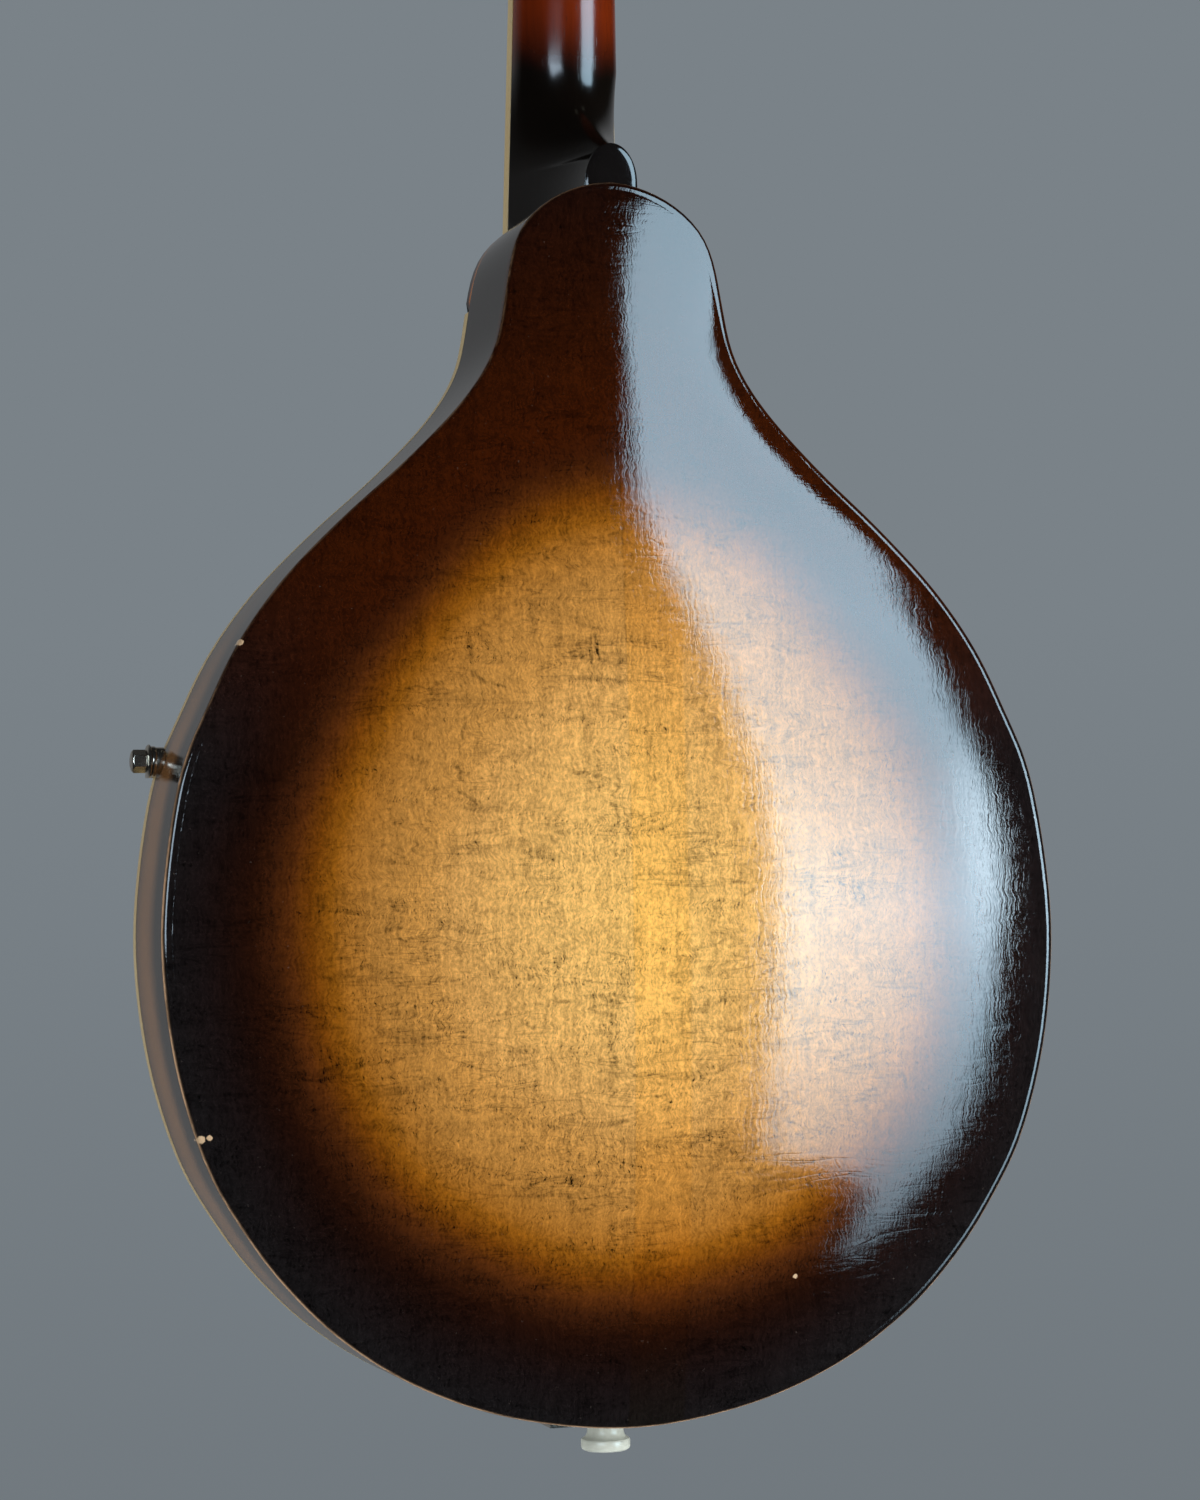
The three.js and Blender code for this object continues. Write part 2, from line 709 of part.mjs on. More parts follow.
// One slice of the neck: flat under the board, round or nosed at the back
function neckSlice(distance, depth, nose, heelShare) {
  const half = boardHalfWidth(distance) - glueGap;
  const flank = Array.from({ length: neckSideSteps + 1 }, (_, step) => {
    const down = Math.sin((Math.PI * step) / (2 * neckSideSteps));
    const round = Math.sqrt(1 - down ** 2);
    const nosed = (1 - down) ** heelTaperShare;
    const spread = round * (1 - heelShare) + nosed * heelShare;
    return [nose + (half - nose) * spread, neckSeat + depth * down];
  });
  const right = flank.map(([x, y]) => new THREE.Vector3(x, y, -distance));
  const left = flank.slice().reverse().map(([x, y]) => new THREE.Vector3(-x, y, -distance));
  return [...right, ...left];
}

function neckShaft() {
  const headOverlap = nutThickness * 2;
  const heelStart = joinDistance - heelRise - heelSweep;
  const slices = [neckSlice(-headOverlap, neckDepthAtNut - headDrop, heelNoseWidth / 2, 0)];
  slices.push(neckSlice(0, neckDepthAtNut, heelNoseWidth / 2, 0));
  neckShaftShares.forEach((share) => {
    const depth = neckDepthAtNut + (neckDepthAtHeel - neckDepthAtNut) * share;
    slices.push(neckSlice(heelStart * share, depth, heelNoseWidth / 2, 0));
  });
  slices.push(neckSlice(heelStart, neckDepthAtHeel, heelNoseWidth / 2, 0));
  heelStationShares.slice().reverse().slice(1).forEach((share) => {
    const depth = neckDepthAtHeel + (capDepth - neckDepthAtHeel) * (1 - share) ** heelSweepShare;
    slices.push(neckSlice(joinDistance - heelRise - heelSweep * share, depth, heelNoseWidth / 2, 1 - share));
  });
  const capHalf = heelCapWidth / 2;
  heelCapShares.slice().reverse().forEach((share) => {
    const nose = heelNoseWidth / 2 + capHalf * Math.sqrt(1 - share ** 2);
    slices.push(neckSlice(joinDistance - heelRise * share, capDepth + heelCapThickness, nose, 1));
  });
  const inBody = joinDistance + heelRise;
  slices.push(neckSlice(inBody, capDepth + heelCapThickness, heelNoseWidth / 2 + capHalf, 1));
  return loft(slices);
}

// The wedge of neck wood that carries the board over the top
function boardWedge() {
  const section = (distance, margin) => {
    const half = boardHalfWidth(distance) - margin;
    const low = neckSeat + bodyDepth / 3;
    return [
      [half, neckSeat], [half, low], [-half, low], [-half, neckSeat],
    ].map(([x, y]) => new THREE.Vector3(x, y, -distance));
  };
  const ends = [joinDistance - heelRise / 2, boardLength - boardEndMargin];
  return loft(ends.map((distance) => section(distance, clearGap)));
}

function neckTenon(gap) {
  return block(
    [-tenonWidth / 2 - gap, tenonWidth / 2 + gap],
    [tenonThrough[0] - gap, tenonThrough[1] + gap],
    [bodyTop - tenonLength - gap, tenonTop],
  );
}

// The open mouth of the mortise, so that the block's tip stays clear of the tenon's root
function tenonMouth() {
  return block(
    [-tenonWidth / 2 - glueGap, tenonWidth / 2 + glueGap],
    farThrough,
    [bodyTop - ribThickness - glueGap * 2, bodyTop + wide],
  );
}

// Outline of the headstock: a flare, a straight widening side and a low crown
function headOutline() {
  const flare = Array.from({ length: headFlareSteps + 1 }, (_, step) => {
    const share = step / headFlareSteps;
    const ease = (1 - Math.cos(Math.PI * share)) / 2;
    const width = headLowWidth + (headWaistWidth - headLowWidth) * ease;
    return new THREE.Vector2(width / 2, headFlareLength * share);
  });
  const crown = Array.from({ length: headCrownSteps + 1 }, (_, step) => {
    const angle = (Math.PI * step) / (2 * headCrownSteps);
    const rise = headCrown * Math.sin(angle);
    return new THREE.Vector2((headTopWidth / 2) * Math.cos(angle), headLength - headCrown + rise);
  });
  const half = [...flare, ...crown];
  const otherHalf = half.slice(0, -1).reverse().map((point) => new THREE.Vector2(-point.x, point.y));
  return [...half, ...otherHalf];
}

// Places of the tuning posts on the headstock, nearest the nut first
function postPlaces() {
  return [-1, 1].flatMap((side) => Array.from({ length: sidePostCount }, (_, index) => ({
    side,
    x: (side * postSpacing) / 2,
    z: firstPostHeight + index * postPitch,
    name: `${side > 0 ? 'treble' : 'bass'}_${index + 1}`,
  })));
}

function headHoles(through) {
  return postPlaces().map(({ x, z }) => rod(postHoleRadius, through, x, z, smallSides));
}

function inNeck(geometry) {
  return geometry.applyMatrix4(neckGroup.matrixWorld.clone().invert());
}

function inHead(geometry) {
  headGroup.updateMatrix();
  return geometry.applyMatrix4(headGroup.matrix);
}

function makeNeck() {
  const core = inHead(slab(headOutline(), [veneerThickness + glueGap, headThickness]));
  const holes = headHoles([-cutOverrun, headThickness + cutOverrun]).map(inHead);
  const seatEnd = nutThickness + glueGap * 2;
  const boardSeat = block([-wide, wide], [-wide, neckSeat], [-boardLength - wide, seatEnd]);
  const channel = block(
    [-trussChannelWidth / 2, trussChannelWidth / 2],
    [0, neckSeat + trussChannelDepth],
    [-trussRodLength - clearGap, nutThickness * 2],
  );
  const pocketAcross = [-trussPocketWidth / 2, trussPocketWidth / 2];
  const pocket = inHead(block(pocketAcross, [-cutOverrun, trussPocketDepth], [0, trussPocketLength]));
  const veneerSeat = inHead(block([-wide, wide], [-wide, veneerThickness + glueGap], [0, headLength * 2]));
  const capCut = inNeck(block(
    farAcross,
    [backPlane - heelCapThickness - glueGap, backPlane + wide],
    [bodyBottom, bodyTop + heelRise + heelSweep],
  ));
  const body = inNeck(bodyEnvelope(clearGap));
  const whole = cut(join(neckShaft(), core, boardWedge()), body, capCut, boardSeat, veneerSeat, ...holes);
  const tenon = inNeck(neckTenon(0));
  piece('neck', cut(join(whole, tenon), channel, pocket), 'neckWood', neckGroup);

  const veneer = cut(
    slab(headOutline(), [0, veneerThickness]),
    ...headHoles([-cutOverrun, cutOverrun]),
    block(pocketAcross, [-cutOverrun, cutOverrun], [-cutOverrun, trussPocketLength]),
  );
  piece('headstock_veneer', veneer, 'blackPlastic', headGroup);

  const rodGeometry = new THREE.CylinderGeometry(trussRodRadius, trussRodRadius, trussRodLength, smallSides);
  rodGeometry.rotateX(Math.PI / 2);
  rodGeometry.translate(0, 0, -trussRodLength / 2 + nutThickness);
  const trussNut = new THREE.CylinderGeometry(trussNutRadius, trussNutRadius, trussNutLength, neckSideSteps);
  trussNut.rotateX(Math.PI / 2);
  trussNut.translate(0, 0, nutThickness * 2 + trussNutLength / 2 - glueGap);
  const neckPart = new THREE.CylinderGeometry(trussRodRadius, trussRodRadius, nutThickness * 2, smallSides);
  neckPart.rotateX(Math.PI / 2);
  neckPart.translate(0, 0, nutThickness + nutThickness / 2);
  const rodMesh = piece('truss_rod', join(rodGeometry, neckPart, trussNut), 'steel', neckGroup);
  rodMesh.position.set(0, neckSeat + trussRodDepth, 0);

  const coverHalf = coverShares.map(([x, z]) => new THREE.Vector2(x * coverWidth, z * coverLength));
  const otherHalf = coverHalf.slice(0, -1).reverse().map((point) => new THREE.Vector2(-point.x, point.y));
  const cover = slab([...coverHalf, ...otherHalf], [-coverThickness - glueGap, -glueGap]);
  cover.translate(0, 0, clearGap);
  piece('truss_rod_cover', cover, 'blackPlastic', headGroup);
}

function makeHeelCap() {
  const half = heelCapWidth / 2;
  const arc = Array.from({ length: smallSides + 1 }, (_, step) => {
    const angle = (Math.PI * step) / smallSides;
    return new THREE.Vector2(half * Math.cos(angle), bodyTop + heelRise * Math.sin(angle));
  });
  const foot = [new THREE.Vector2(-half, bodyTop - heelRise), new THREE.Vector2(half, bodyTop - heelRise)];
  const blank = slab([...arc, ...foot], [backPlane - heelCapThickness, backPlane]);
  piece('heel_cap', cut(blank, envelope), 'blackPlastic');
}

function makeFingerboard() {
  const edge = boardBindingThickness + glueGap;
  const profile = [[0, boardThickness], [0, 0]];
  for (let fret = 1; fret <= fretCount; fret += 1) {
    const place = fretDistance(fret);
    profile.push([place - fretWidth / 2, 0], [place, -fretHeight], [place + fretWidth / 2, 0]);
  }
  profile.push([boardLength - edge, 0], [boardLength - edge, boardThickness]);
  const side = (sign) => profile.map(([distance, y]) => (
    new THREE.Vector3(sign * (boardHalfWidth(distance) - edge), y, -distance)
  ));
  piece('fingerboard', loft([side(1), side(-1)]), 'rosewood', neckGroup);

  const corners = (margin) => [
    new THREE.Vector2(boardHalfWidth(0) - margin, 0),
    new THREE.Vector2(boardHalfWidth(boardLength - margin) - margin, -boardLength + margin),
    new THREE.Vector2(-boardHalfWidth(boardLength - margin) + margin, -boardLength + margin),
    new THREE.Vector2(-boardHalfWidth(0) + margin, 0),
  ];
  const loop = [...corners(0), ...corners(boardBindingThickness).reverse()];
  piece('fingerboard_binding', slab(loop, [0, boardThickness]), 'celluloid', neckGroup);
}

// Strings and what they rest on

function inWorld(point, group) {
  return point.clone().applyMatrix4(group.matrixWorld);
}

const bridgePlace = -scaleLength * Math.cos(neckAngle);
const stringTopAtBridge = inWorld(new THREE.Vector3(0, -bridgeAction, -scaleLength), neckGroup).y;

// A spot across the strings, from the bass side: which pair, and which string of the pair
function stringOffset(index, courseSpacing, pairSpacing) {
  const course = Math.floor(index / 2) - (stringRadii.length / 2 - 1) / 2;
  const inPair = index % 2 ? 1 / 2 : -1 / 2;
  return course * courseSpacing + inPair * pairSpacing;
}

// The post that a string goes to: the outermost string to the post nearest the nut
function stringPost(index) {
  const places = postPlaces();
  return index < sidePostCount ? places[index] : places[sidePostCount * 3 - 1 - index];
}

const tailSlope = Math.atan2(tailpieceEndRise - tailpieceStandoff, tailpieceLength);

// Height of the tailpiece's front face above the front plane, at a height above the tail
function tailpieceFace(height) {
  return tailpieceStandoff + sheetThickness / Math.cos(tailSlope) + height * Math.tan(tailSlope);
}

// From the hook over the saddle and the nut to the post, and once round it if wound is true
function stringRoute(index, wound) {
  const radius = stringRadii[index];
  const nutX = stringOffset(index, courseSpacingAtNut, pairSpacingAtNut);
  const bridgeX = stringOffset(index, courseSpacingAtBridge, pairSpacingAtBridge);
  const tailX = stringOffset(index, courseSpacingAtHooks, pairSpacingAtBridge);
  const hookZ = bodyBottom + hookPlace + hookWidth / 2 + clearGap;
  const hookY = frontPlane - tailpieceFace(hookPlace) - hookHeight / 2;
  const nutHeightAbove = -(nutAction + radius);
  const route = [
    new THREE.Vector3(tailX, hookY, hookZ),
    new THREE.Vector3(bridgeX, stringTopAtBridge, bridgePlace - saddleTopThickness / 2),
    new THREE.Vector3(bridgeX, stringTopAtBridge, bridgePlace + saddleTopThickness / 4),
    inWorld(new THREE.Vector3(nutX, nutHeightAbove, 0), neckGroup),
    inWorld(new THREE.Vector3(nutX, nutHeightAbove + nutThickness / 12, nutThickness), neckGroup),
  ];
  const { side, x, z } = stringPost(index);
  const coil = postRadius + radius + glueGap;
  const inner = Math.PI * (side > 0 ? 1 : 0);
  for (let step = 0; step <= (wound ? wrapSteps : 0); step += 1) {
    const turn = (2 * Math.PI * step) / wrapSteps;
    const angle = inner + side * turn;
    const down = ((2 * radius + glueGap) * step) / wrapSteps;
    route.push(inWorld(new THREE.Vector3(
      x + coil * Math.cos(angle),
      -stringWrapHeight + down,
      z + coil * Math.sin(angle),
    ), headGroup));
  }
  return route;
}

function slotCutters(group) {
  return stringRadii.map((radius, index) => {
    const cutter = bar(stringRoute(index, false), radius + glueGap, stringSides);
    return group ? cutter.applyMatrix4(group.matrixWorld.clone().invert()) : cutter;
  });
}

function makeStrings() {
  stringRadii.forEach((radius, index) => {
    const finish = radius > stringRadii[sidePostCount] ? 'bronze' : 'steel';
    piece(`string_${index + 1}`, bar(stringRoute(index, true), radius, stringSides), finish);
  });
  const half = boardNutWidth / 2;
  const blank = slab(
    [[-half, glueGap], [half, glueGap], [half, nutThickness], [-half, nutThickness]]
      .map(([x, z]) => new THREE.Vector2(x, z)),
    [boardThickness - nutHeight + nutAction, boardThickness],
  );
  piece('nut', cut(blank, ...slotCutters(neckGroup)), 'bone', neckGroup);
}

// Bridge

function makeBridge() {
  const crown = frontPlane - topArch;
  const baseTop = crown - bridgeBaseHeight;
  const wheelBack = baseTop - wheelLift;
  const wheelFront = wheelBack - wheelThickness;
  const saddleBack = wheelFront - glueGap;
  const half = bridgeLength / 2;
  const studHalf = studSpacing / 2;
  const padReach = wheelRadius + bridgePadMargin;
  const tipFace = frontPlane - topArch * archShare(half, bridgePlace) - bridgeTipHeight;
  const baseLine = [
    [-half, frontPlane], [half, frontPlane], [half, tipFace],
    [studHalf + padReach, baseTop], [-studHalf - padReach, baseTop],
    [-half, tipFace],
  ].map(([x, y]) => new THREE.Vector2(x, y));
  const prism = (line, depth) => {
    const geometry = new THREE.ExtrudeGeometry(shapeOf(line), { depth, bevelEnabled: false, steps: 1 });
    geometry.translate(0, 0, bridgePlace - depth / 2);
    return geometry;
  };
  const studFront = saddleBack - saddleHeight / 2;
  const studBack = baseTop + bridgeBaseHeight - studRadius / 2;
  const studs = [-studHalf, studHalf];
  const holeSpan = [studFront - wheelLift * 2, studBack + glueGap];
  const studHoles = studs.map((x) => rod(studRadius + studClearance, holeSpan, x, bridgePlace, smallSides));
  piece('bridge_base', cut(prism(baseLine, bridgeDepth), envelope, ...studHoles), 'ebony');
  [['bass', -1], ['treble', 1]].forEach(([label, side]) => {
    const stud = rod(studRadius, [studFront, studBack], side * studHalf, bridgePlace, smallSides);
    piece(`bridge_stud_${label}`, stud, 'nickel');
    const blank = rod(wheelRadius, [0, wheelThickness], 0, 0, wheelSides);
    const bore = rod(studRadius + studClearance, [-cutOverrun, cutOverrun], 0, 0, smallSides);
    const wheel = piece(`thumbwheel_${label}`, cut(blank, bore), 'nickel');
    wheel.position.set(side * studHalf, wheelFront, bridgePlace);
  });
  const saddleHalf = saddleLength / 2;
  const crestHalf = saddleCrestLength / 2;
  const saddleFront = stringTopAtBridge - stringRadii[0];
  const saddleLine = [
    [-saddleHalf, saddleBack], [saddleHalf, saddleBack], [saddleHalf, saddleBack - saddleTipHeight],
    [crestHalf + saddleTopThickness, saddleFront + clearGap], [crestHalf, saddleFront],
    [-crestHalf, saddleFront], [-crestHalf - saddleTopThickness, saddleFront + clearGap],
    [-saddleHalf, saddleBack - saddleTipHeight],
  ].map(([x, y]) => new THREE.Vector2(x, y));
  piece('bridge_saddle', cut(prism(saddleLine, saddleThickness), ...studHoles, ...slotCutters()), 'ebony');
}

// Tailpiece

function makeTailpiece() {
  const legPlace = bodyBottom - glueGap - sheetThickness / 2;
  const low = frontPlane - tailpieceStandoff - sheetThickness / 2;
  const line = [
    [frontPlane + tailpieceLegLength, legPlace],
    [low, legPlace],
    [low - tailpieceLength * Math.tan(tailSlope), bodyBottom + tailpieceLength],
  ].map(([y, z]) => new THREE.Vector2(y, z));
  const profile = shapeOf(strip(line, sheetThickness));
  const sheet = new THREE.ExtrudeGeometry(profile, { depth: tailpieceWidth, bevelEnabled: false, steps: 1 });
  // The profile lies in y and z, and the sheet runs along x
  const turned = new THREE.Matrix4().makeBasis(
    new THREE.Vector3(0, 1, 0), new THREE.Vector3(0, 0, 1), new THREE.Vector3(1, 0, 0),
  );
  sheet.applyMatrix4(turned);
  sheet.translate(-tailpieceWidth / 2, 0, 0);
  const hooks = stringRadii.map((_, index) => {
    const x = stringOffset(index, courseSpacingAtHooks, pairSpacingAtBridge);
    const face = frontPlane - tailpieceFace(hookPlace);
    return block(
      [x - hookWidth / 2, x + hookWidth / 2],
      [face - hookHeight, face + sheetThickness / 2],
      [bodyBottom + hookPlace - hookWidth / 2, bodyBottom + hookPlace + hookWidth / 2],
    );
  });
  piece('tailpiece_base', cut(join(sheet, ...hooks), endPinStem(clearGap)), 'nickel');

  // The cover is an arched sheet that slides over the base, lower at the tail and open at both ends
  const half = tailpieceWidth / 2 + clearGap + sheetThickness;
  const section = (along, height, margin) => Array.from({ length: smallSides + 1 }, (_, step) => {
    const angle = (Math.PI * step) / smallSides;
    const x = (half - margin) * Math.sign(Math.cos(angle)) * Math.abs(Math.cos(angle)) ** tailCoverArcShare;
    return new THREE.Vector3(x, -(height - margin) * Math.sin(angle) ** tailCoverArcShare, along);
  });
  const rings = tailCoverShares.map(([along, rise]) => {
    const place = along * (tailpieceLength + tailCoverOverhang);
    const height = tailCoverTailHeight + rise * (tailCoverHeight - tailCoverTailHeight);
    return [...section(place, height, 0), ...section(place, height, sheetThickness).reverse()];
  });
  const cover = piece('tailpiece_cover', loft(rings), 'nickel');
  cover.position.set(0, frontPlane - tailpieceStandoff - sheetThickness / 2, bodyBottom);
  cover.rotation.x = tailSlope;
}

// Tuning machines, in the headstock's frame

const plateBack = headThickness + glueGap + plateThickness;
const axlePlace = plateBack + axleStandoff;
const wormLead = (2 * Math.PI * gearPitchRadius) / gearToothCount;
const earPlace = (wormLead * wormTurnCount) / 2 + clearGap + earThickness / 2;

function makePlate(name, side) {
  const places = postPlaces().filter((post) => post.side === side);
  const low = places[0].z - plateMargin;
  const high = places[sidePostCount - 1].z + wormCentreDistance + plateMargin;
  const x = places[0].x;
  const sheet = block(
    [x - plateWidth / 2, x + plateWidth / 2],
    [headThickness + glueGap, plateBack],
    [low, high],
  );
  const ears = places.flatMap((post) => [-1, 1].map((end) => block(
    [x + end * earPlace - earThickness / 2, x + end * earPlace + earThickness / 2],
    [plateBack - plateThickness / 2, plateBack + earHeight],
    [post.z + wormCentreDistance - earWidth / 2, post.z + wormCentreDistance + earWidth / 2],
  )));
  const holes = places.flatMap((post) => {
    const shaft = new THREE.CylinderGeometry(shaftHoleRadius, shaftHoleRadius, plateWidth * 2, smallSides);
    shaft.rotateZ(Math.PI / 2);
    shaft.translate(x, axlePlace, post.z + wormCentreDistance);
    return [shaft, rod(postHoleRadius, [0, plateBack + clearGap], x, post.z, smallSides)];
  });
  piece(name, cut(join(sheet, ...ears), ...holes), 'nickel', headGroup);
}

// A string post with its gear, turning on the y axis
function postGeometry() {
  const gearFront = axlePlace - gearThickness / 2;
  const gearBack = axlePlace + gearThickness / 2;
  const collar = plateBack + clearGap;
  const profile = [
    [0, -postProjection], [postRadius, -postProjection + glueGap / 2], [postRadius, collar],
    [postRadius + clearGap * 2, collar], [postRadius + clearGap * 2, gearBack + clearGap],
    [0, gearBack + clearGap],
  ];
  const shaft = new THREE.LatheGeometry(profile.map(([r, y]) => new THREE.Vector2(r, y)), smallSides);
  const teeth = Array.from({ length: gearToothCount * 3 }, (_, index) => {
    const tooth = Math.floor(index / 3);
    const pitch = (2 * Math.PI) / gearToothCount;
    const spot = [0, (1 - gearTipShare) / 2, (1 + gearTipShare) / 2][index % 3];
    const radius = index % 3 ? gearTipRadius : gearRootRadius;
    const angle = Math.PI / 2 + (tooth + spot) * pitch;
    return new THREE.Vector2(radius * Math.cos(angle), radius * Math.sin(angle));
  });
  return join(shaft, slab(teeth, [gearFront, gearBack]));
}

// A key: worm, shaft and oval button in one turned piece, lying on the x axis
function keyGeometry() {
  const wheel = (along, tall, deep, crest = -1) => Array.from({ length: wormSides }, (_, step) => {
    const angle = (2 * Math.PI * step) / wormSides - Math.PI / 2;
    const grow = step === crest ? wormCrestRadius / wormRadius : 1;
    return new THREE.Vector3(along, deep * grow * Math.cos(angle), tall * grow * Math.sin(angle));
  });
  const wormHalf = (wormLead * wormTurnCount) / 2;
  const inner = -earPlace - earThickness / 2 - clearGap;
  const rings = [wheel(inner, shaftRadius, shaftRadius), wheel(-wormHalf, shaftRadius, shaftRadius)];
  const steps = wormTurnCount * wormSides;
  for (let step = 0; step <= steps; step += 1) {
    const crest = (wormSides * 2 - (step - steps / 2)) % wormSides;
    rings.push(wheel(-wormHalf + (wormLead * step) / wormSides, wormRadius, wormRadius, crest));
  }
  rings.push(wheel(wormHalf, shaftRadius, shaftRadius), wheel(keyReach, shaftRadius, shaftRadius));
  buttonShares.forEach(([along, spread]) => {
    rings.push(wheel(
      keyReach + along * buttonLength, (spread * buttonWidth) / 2, (spread * buttonDepth) / 2,
    ));
  });
  return loft(rings);
}

function makeTuners() {
  makePlate('tuner_plate_bass', -1);
  makePlate('tuner_plate_treble', 1);
  postPlaces().forEach(({ side, x, z, name }) => {
    const post = piece(`post_${name}`, postGeometry(), 'nickel', headGroup);
    post.position.set(x, 0, z);
    const key = piece(`key_${name}`, keyGeometry(), 'ivoroid', headGroup);
    key.position.set(x, axlePlace, z + wormCentreDistance);
    key.rotation.z = side > 0 ? 0 : Math.PI;
  });
}

// Pickguard

function makePickguard() {
  const inner = boardHalfWidth(boardLength) + clearGap;
  const points = guardShares.map(([x, z]) => new THREE.Vector2(inner + x * guardWidth, -z * scaleLength));
  const guard = slab(points, [guardDrop, guardDrop + guardThickness]);
  piece('pickguard', guard, 'tortoise', neckGroup);

  const under = inWorld(new THREE.Vector3(0, guardDrop + guardThickness, boltHeight), neckGroup).y;
  const legX = boltFace + bracketPadThickness;
  const footY = under + glueGap * 2 + sheetThickness / 2;
  const line = [
    [legX, boltPlace + bracketLegLength / 2], [legX, frontPlane - sheetThickness - clearGap],
    [bracketReach, footY], [bracketReach - bracketFootLength, footY],
  ].map(([x, y]) => new THREE.Vector2(x, y));
  const flat = new THREE.ExtrudeGeometry(
    shapeOf(strip(line, sheetThickness)), { depth: bracketWidth, bevelEnabled: false, steps: 1 },
  );
  flat.translate(0, 0, boltHeight - bracketWidth / 2);
  const bore = bracketBore();
  const foot = block(
    [boltFace - bracketWidth, legX],
    [frontPlane + glueGap, boltPlace + bracketLegLength / 2],
    [boltHeight - bracketWidth / 2, boltHeight + bracketWidth / 2],
  );
  piece('pickguard_bracket', cut(join(flat, foot), envelope, bore), 'nickel');
  const washerLeft = legX + sheetThickness / 2 + glueGap;
  const washer = boltRod(washerRadius, [washerLeft, washerLeft + washerThickness], pinSides);
  const headRight = washerLeft + washerThickness + boltHeadLength;
  const head = boltRod(boltHeadRadius, [washerLeft + washerThickness / 2, headRight], boltHeadSides);
  const shank = boltRod(boltRadius, [boltFace - boltEmbed, washerLeft + washerThickness], smallSides);
  piece('bracket_bolt', join(washer, head, shank), 'nickel');
}

makePlates();
makeRim();
makeToneBars();
makeEndPin();
makeNeck();
makeHeelCap();
makeFingerboard();
makeStrings();
makeBridge();
makeTailpiece();
makeTuners();
makePickguard();

export default mandola;
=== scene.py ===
"""Mandola with a carved teardrop body: the shape and finish of every piece over its frame."""

import math

import bmesh
import bpy
import numpy as np
from bpy.props import FloatProperty, FloatVectorProperty, IntProperty, PointerProperty
from mathutils import Matrix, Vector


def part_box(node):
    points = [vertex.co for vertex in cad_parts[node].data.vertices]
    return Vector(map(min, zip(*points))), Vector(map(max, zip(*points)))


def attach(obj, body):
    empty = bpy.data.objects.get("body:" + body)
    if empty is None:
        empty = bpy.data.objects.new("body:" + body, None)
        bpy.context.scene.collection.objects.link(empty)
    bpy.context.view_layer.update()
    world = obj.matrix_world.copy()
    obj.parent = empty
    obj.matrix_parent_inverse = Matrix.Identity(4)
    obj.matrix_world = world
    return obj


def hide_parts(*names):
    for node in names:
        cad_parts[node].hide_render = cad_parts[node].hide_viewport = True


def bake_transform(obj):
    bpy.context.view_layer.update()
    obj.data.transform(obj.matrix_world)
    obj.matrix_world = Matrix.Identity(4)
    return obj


bl_info = {
    "name": "Mandola",
    "version": (1, 0, 0),
    "blender": (4, 5, 0),
    "location": "3D View > Sidebar > Mandola",
    "description": "Models and finishes the pieces of a carved mandola over its frame",
    "category": "Object",
}

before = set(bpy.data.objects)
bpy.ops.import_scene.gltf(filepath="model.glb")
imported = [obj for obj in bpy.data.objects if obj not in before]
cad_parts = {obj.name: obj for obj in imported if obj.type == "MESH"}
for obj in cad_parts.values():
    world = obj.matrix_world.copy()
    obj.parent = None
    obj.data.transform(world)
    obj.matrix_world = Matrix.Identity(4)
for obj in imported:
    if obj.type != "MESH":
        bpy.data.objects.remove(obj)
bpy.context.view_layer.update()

# Places and sizes of the frame, in millimetres
MM = 0.001
SCALE_LENGTH = 400.0
JOIN_DISTANCE = SCALE_LENGTH * (1 - 2 ** (-10 / 12))
FRET_COUNT = 20
BOARD_LENGTH = SCALE_LENGTH * (1 - 2 ** (-FRET_COUNT / 12)) + 5
BOARD_THICKNESS = 5.0
NUT_FACE = -10.5
NECK_ANGLE = math.radians(4)
HEAD_ANGLE = math.radians(14)
BODY_LENGTH, BODY_WIDTH, BODY_DEPTH = 372.0, 279.4, 46
BODY_TOP = -JOIN_DISTANCE * math.cos(NECK_ANGLE)
BODY_BOTTOM = BODY_TOP - BODY_LENGTH
BACK_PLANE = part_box("heel_cap")[1].y / MM
FRONT_PLANE = BACK_PLANE - BODY_DEPTH
ARCH_CENTRE = np.array([0.0, BODY_BOTTOM + 150])
ARCH = 14.0
BACK_EDGE, TOP_EDGE, RIB_WALL, BINDING_WALL = 4.0, 4.5, 2.2, 1.6
BINDING_END = BODY_BOTTOM + 339
BRIDGE_PLACE = -SCALE_LENGTH * math.cos(NECK_ANGLE)
BRACKET_PLACE, BOLT_DEPTH = BODY_BOTTOM + 199, 8
STUD_ASIDE = 34
HEEL_RISE = 12.0
CAP_HALF_WIDTH, CAP_THICKNESS = 8.15, 2.4
POST_ASIDE, FIRST_POST, POST_PITCH = 22.0, 30.0, 23

# The axes that x, y and z go to when a piece is turned
Y_TO_X = ((0, 0, 1), (1, 0, 0), (0, 1, 0))
Y_TO_TAIL = ((1, 0, 0), (0, 0, -1), (0, 1, 0))
Y_TO_BACK = ((1, 0, 0), (0, -1, 0), (0, 0, -1))

OUTLINE_SHARES = (
    (0, 0), (0.252, 0.012), (0.462, 0.04), (0.63, 0.08), (0.755, 0.126), (0.846, 0.173),
    (0.916, 0.2215), (0.974, 0.295), (1, 0.376), (0.991, 0.446), (0.956, 0.521), (0.9, 0.5715),
    (0.833, 0.622), (0.737, 0.6715), (0.608, 0.721), (0.466, 0.769), (0.342, 0.8175),
    (0.273, 0.859), (0.247, 0.903), (0.23, 0.938), (0.197, 0.965), (0.115, 0.989), (0, 1),
)


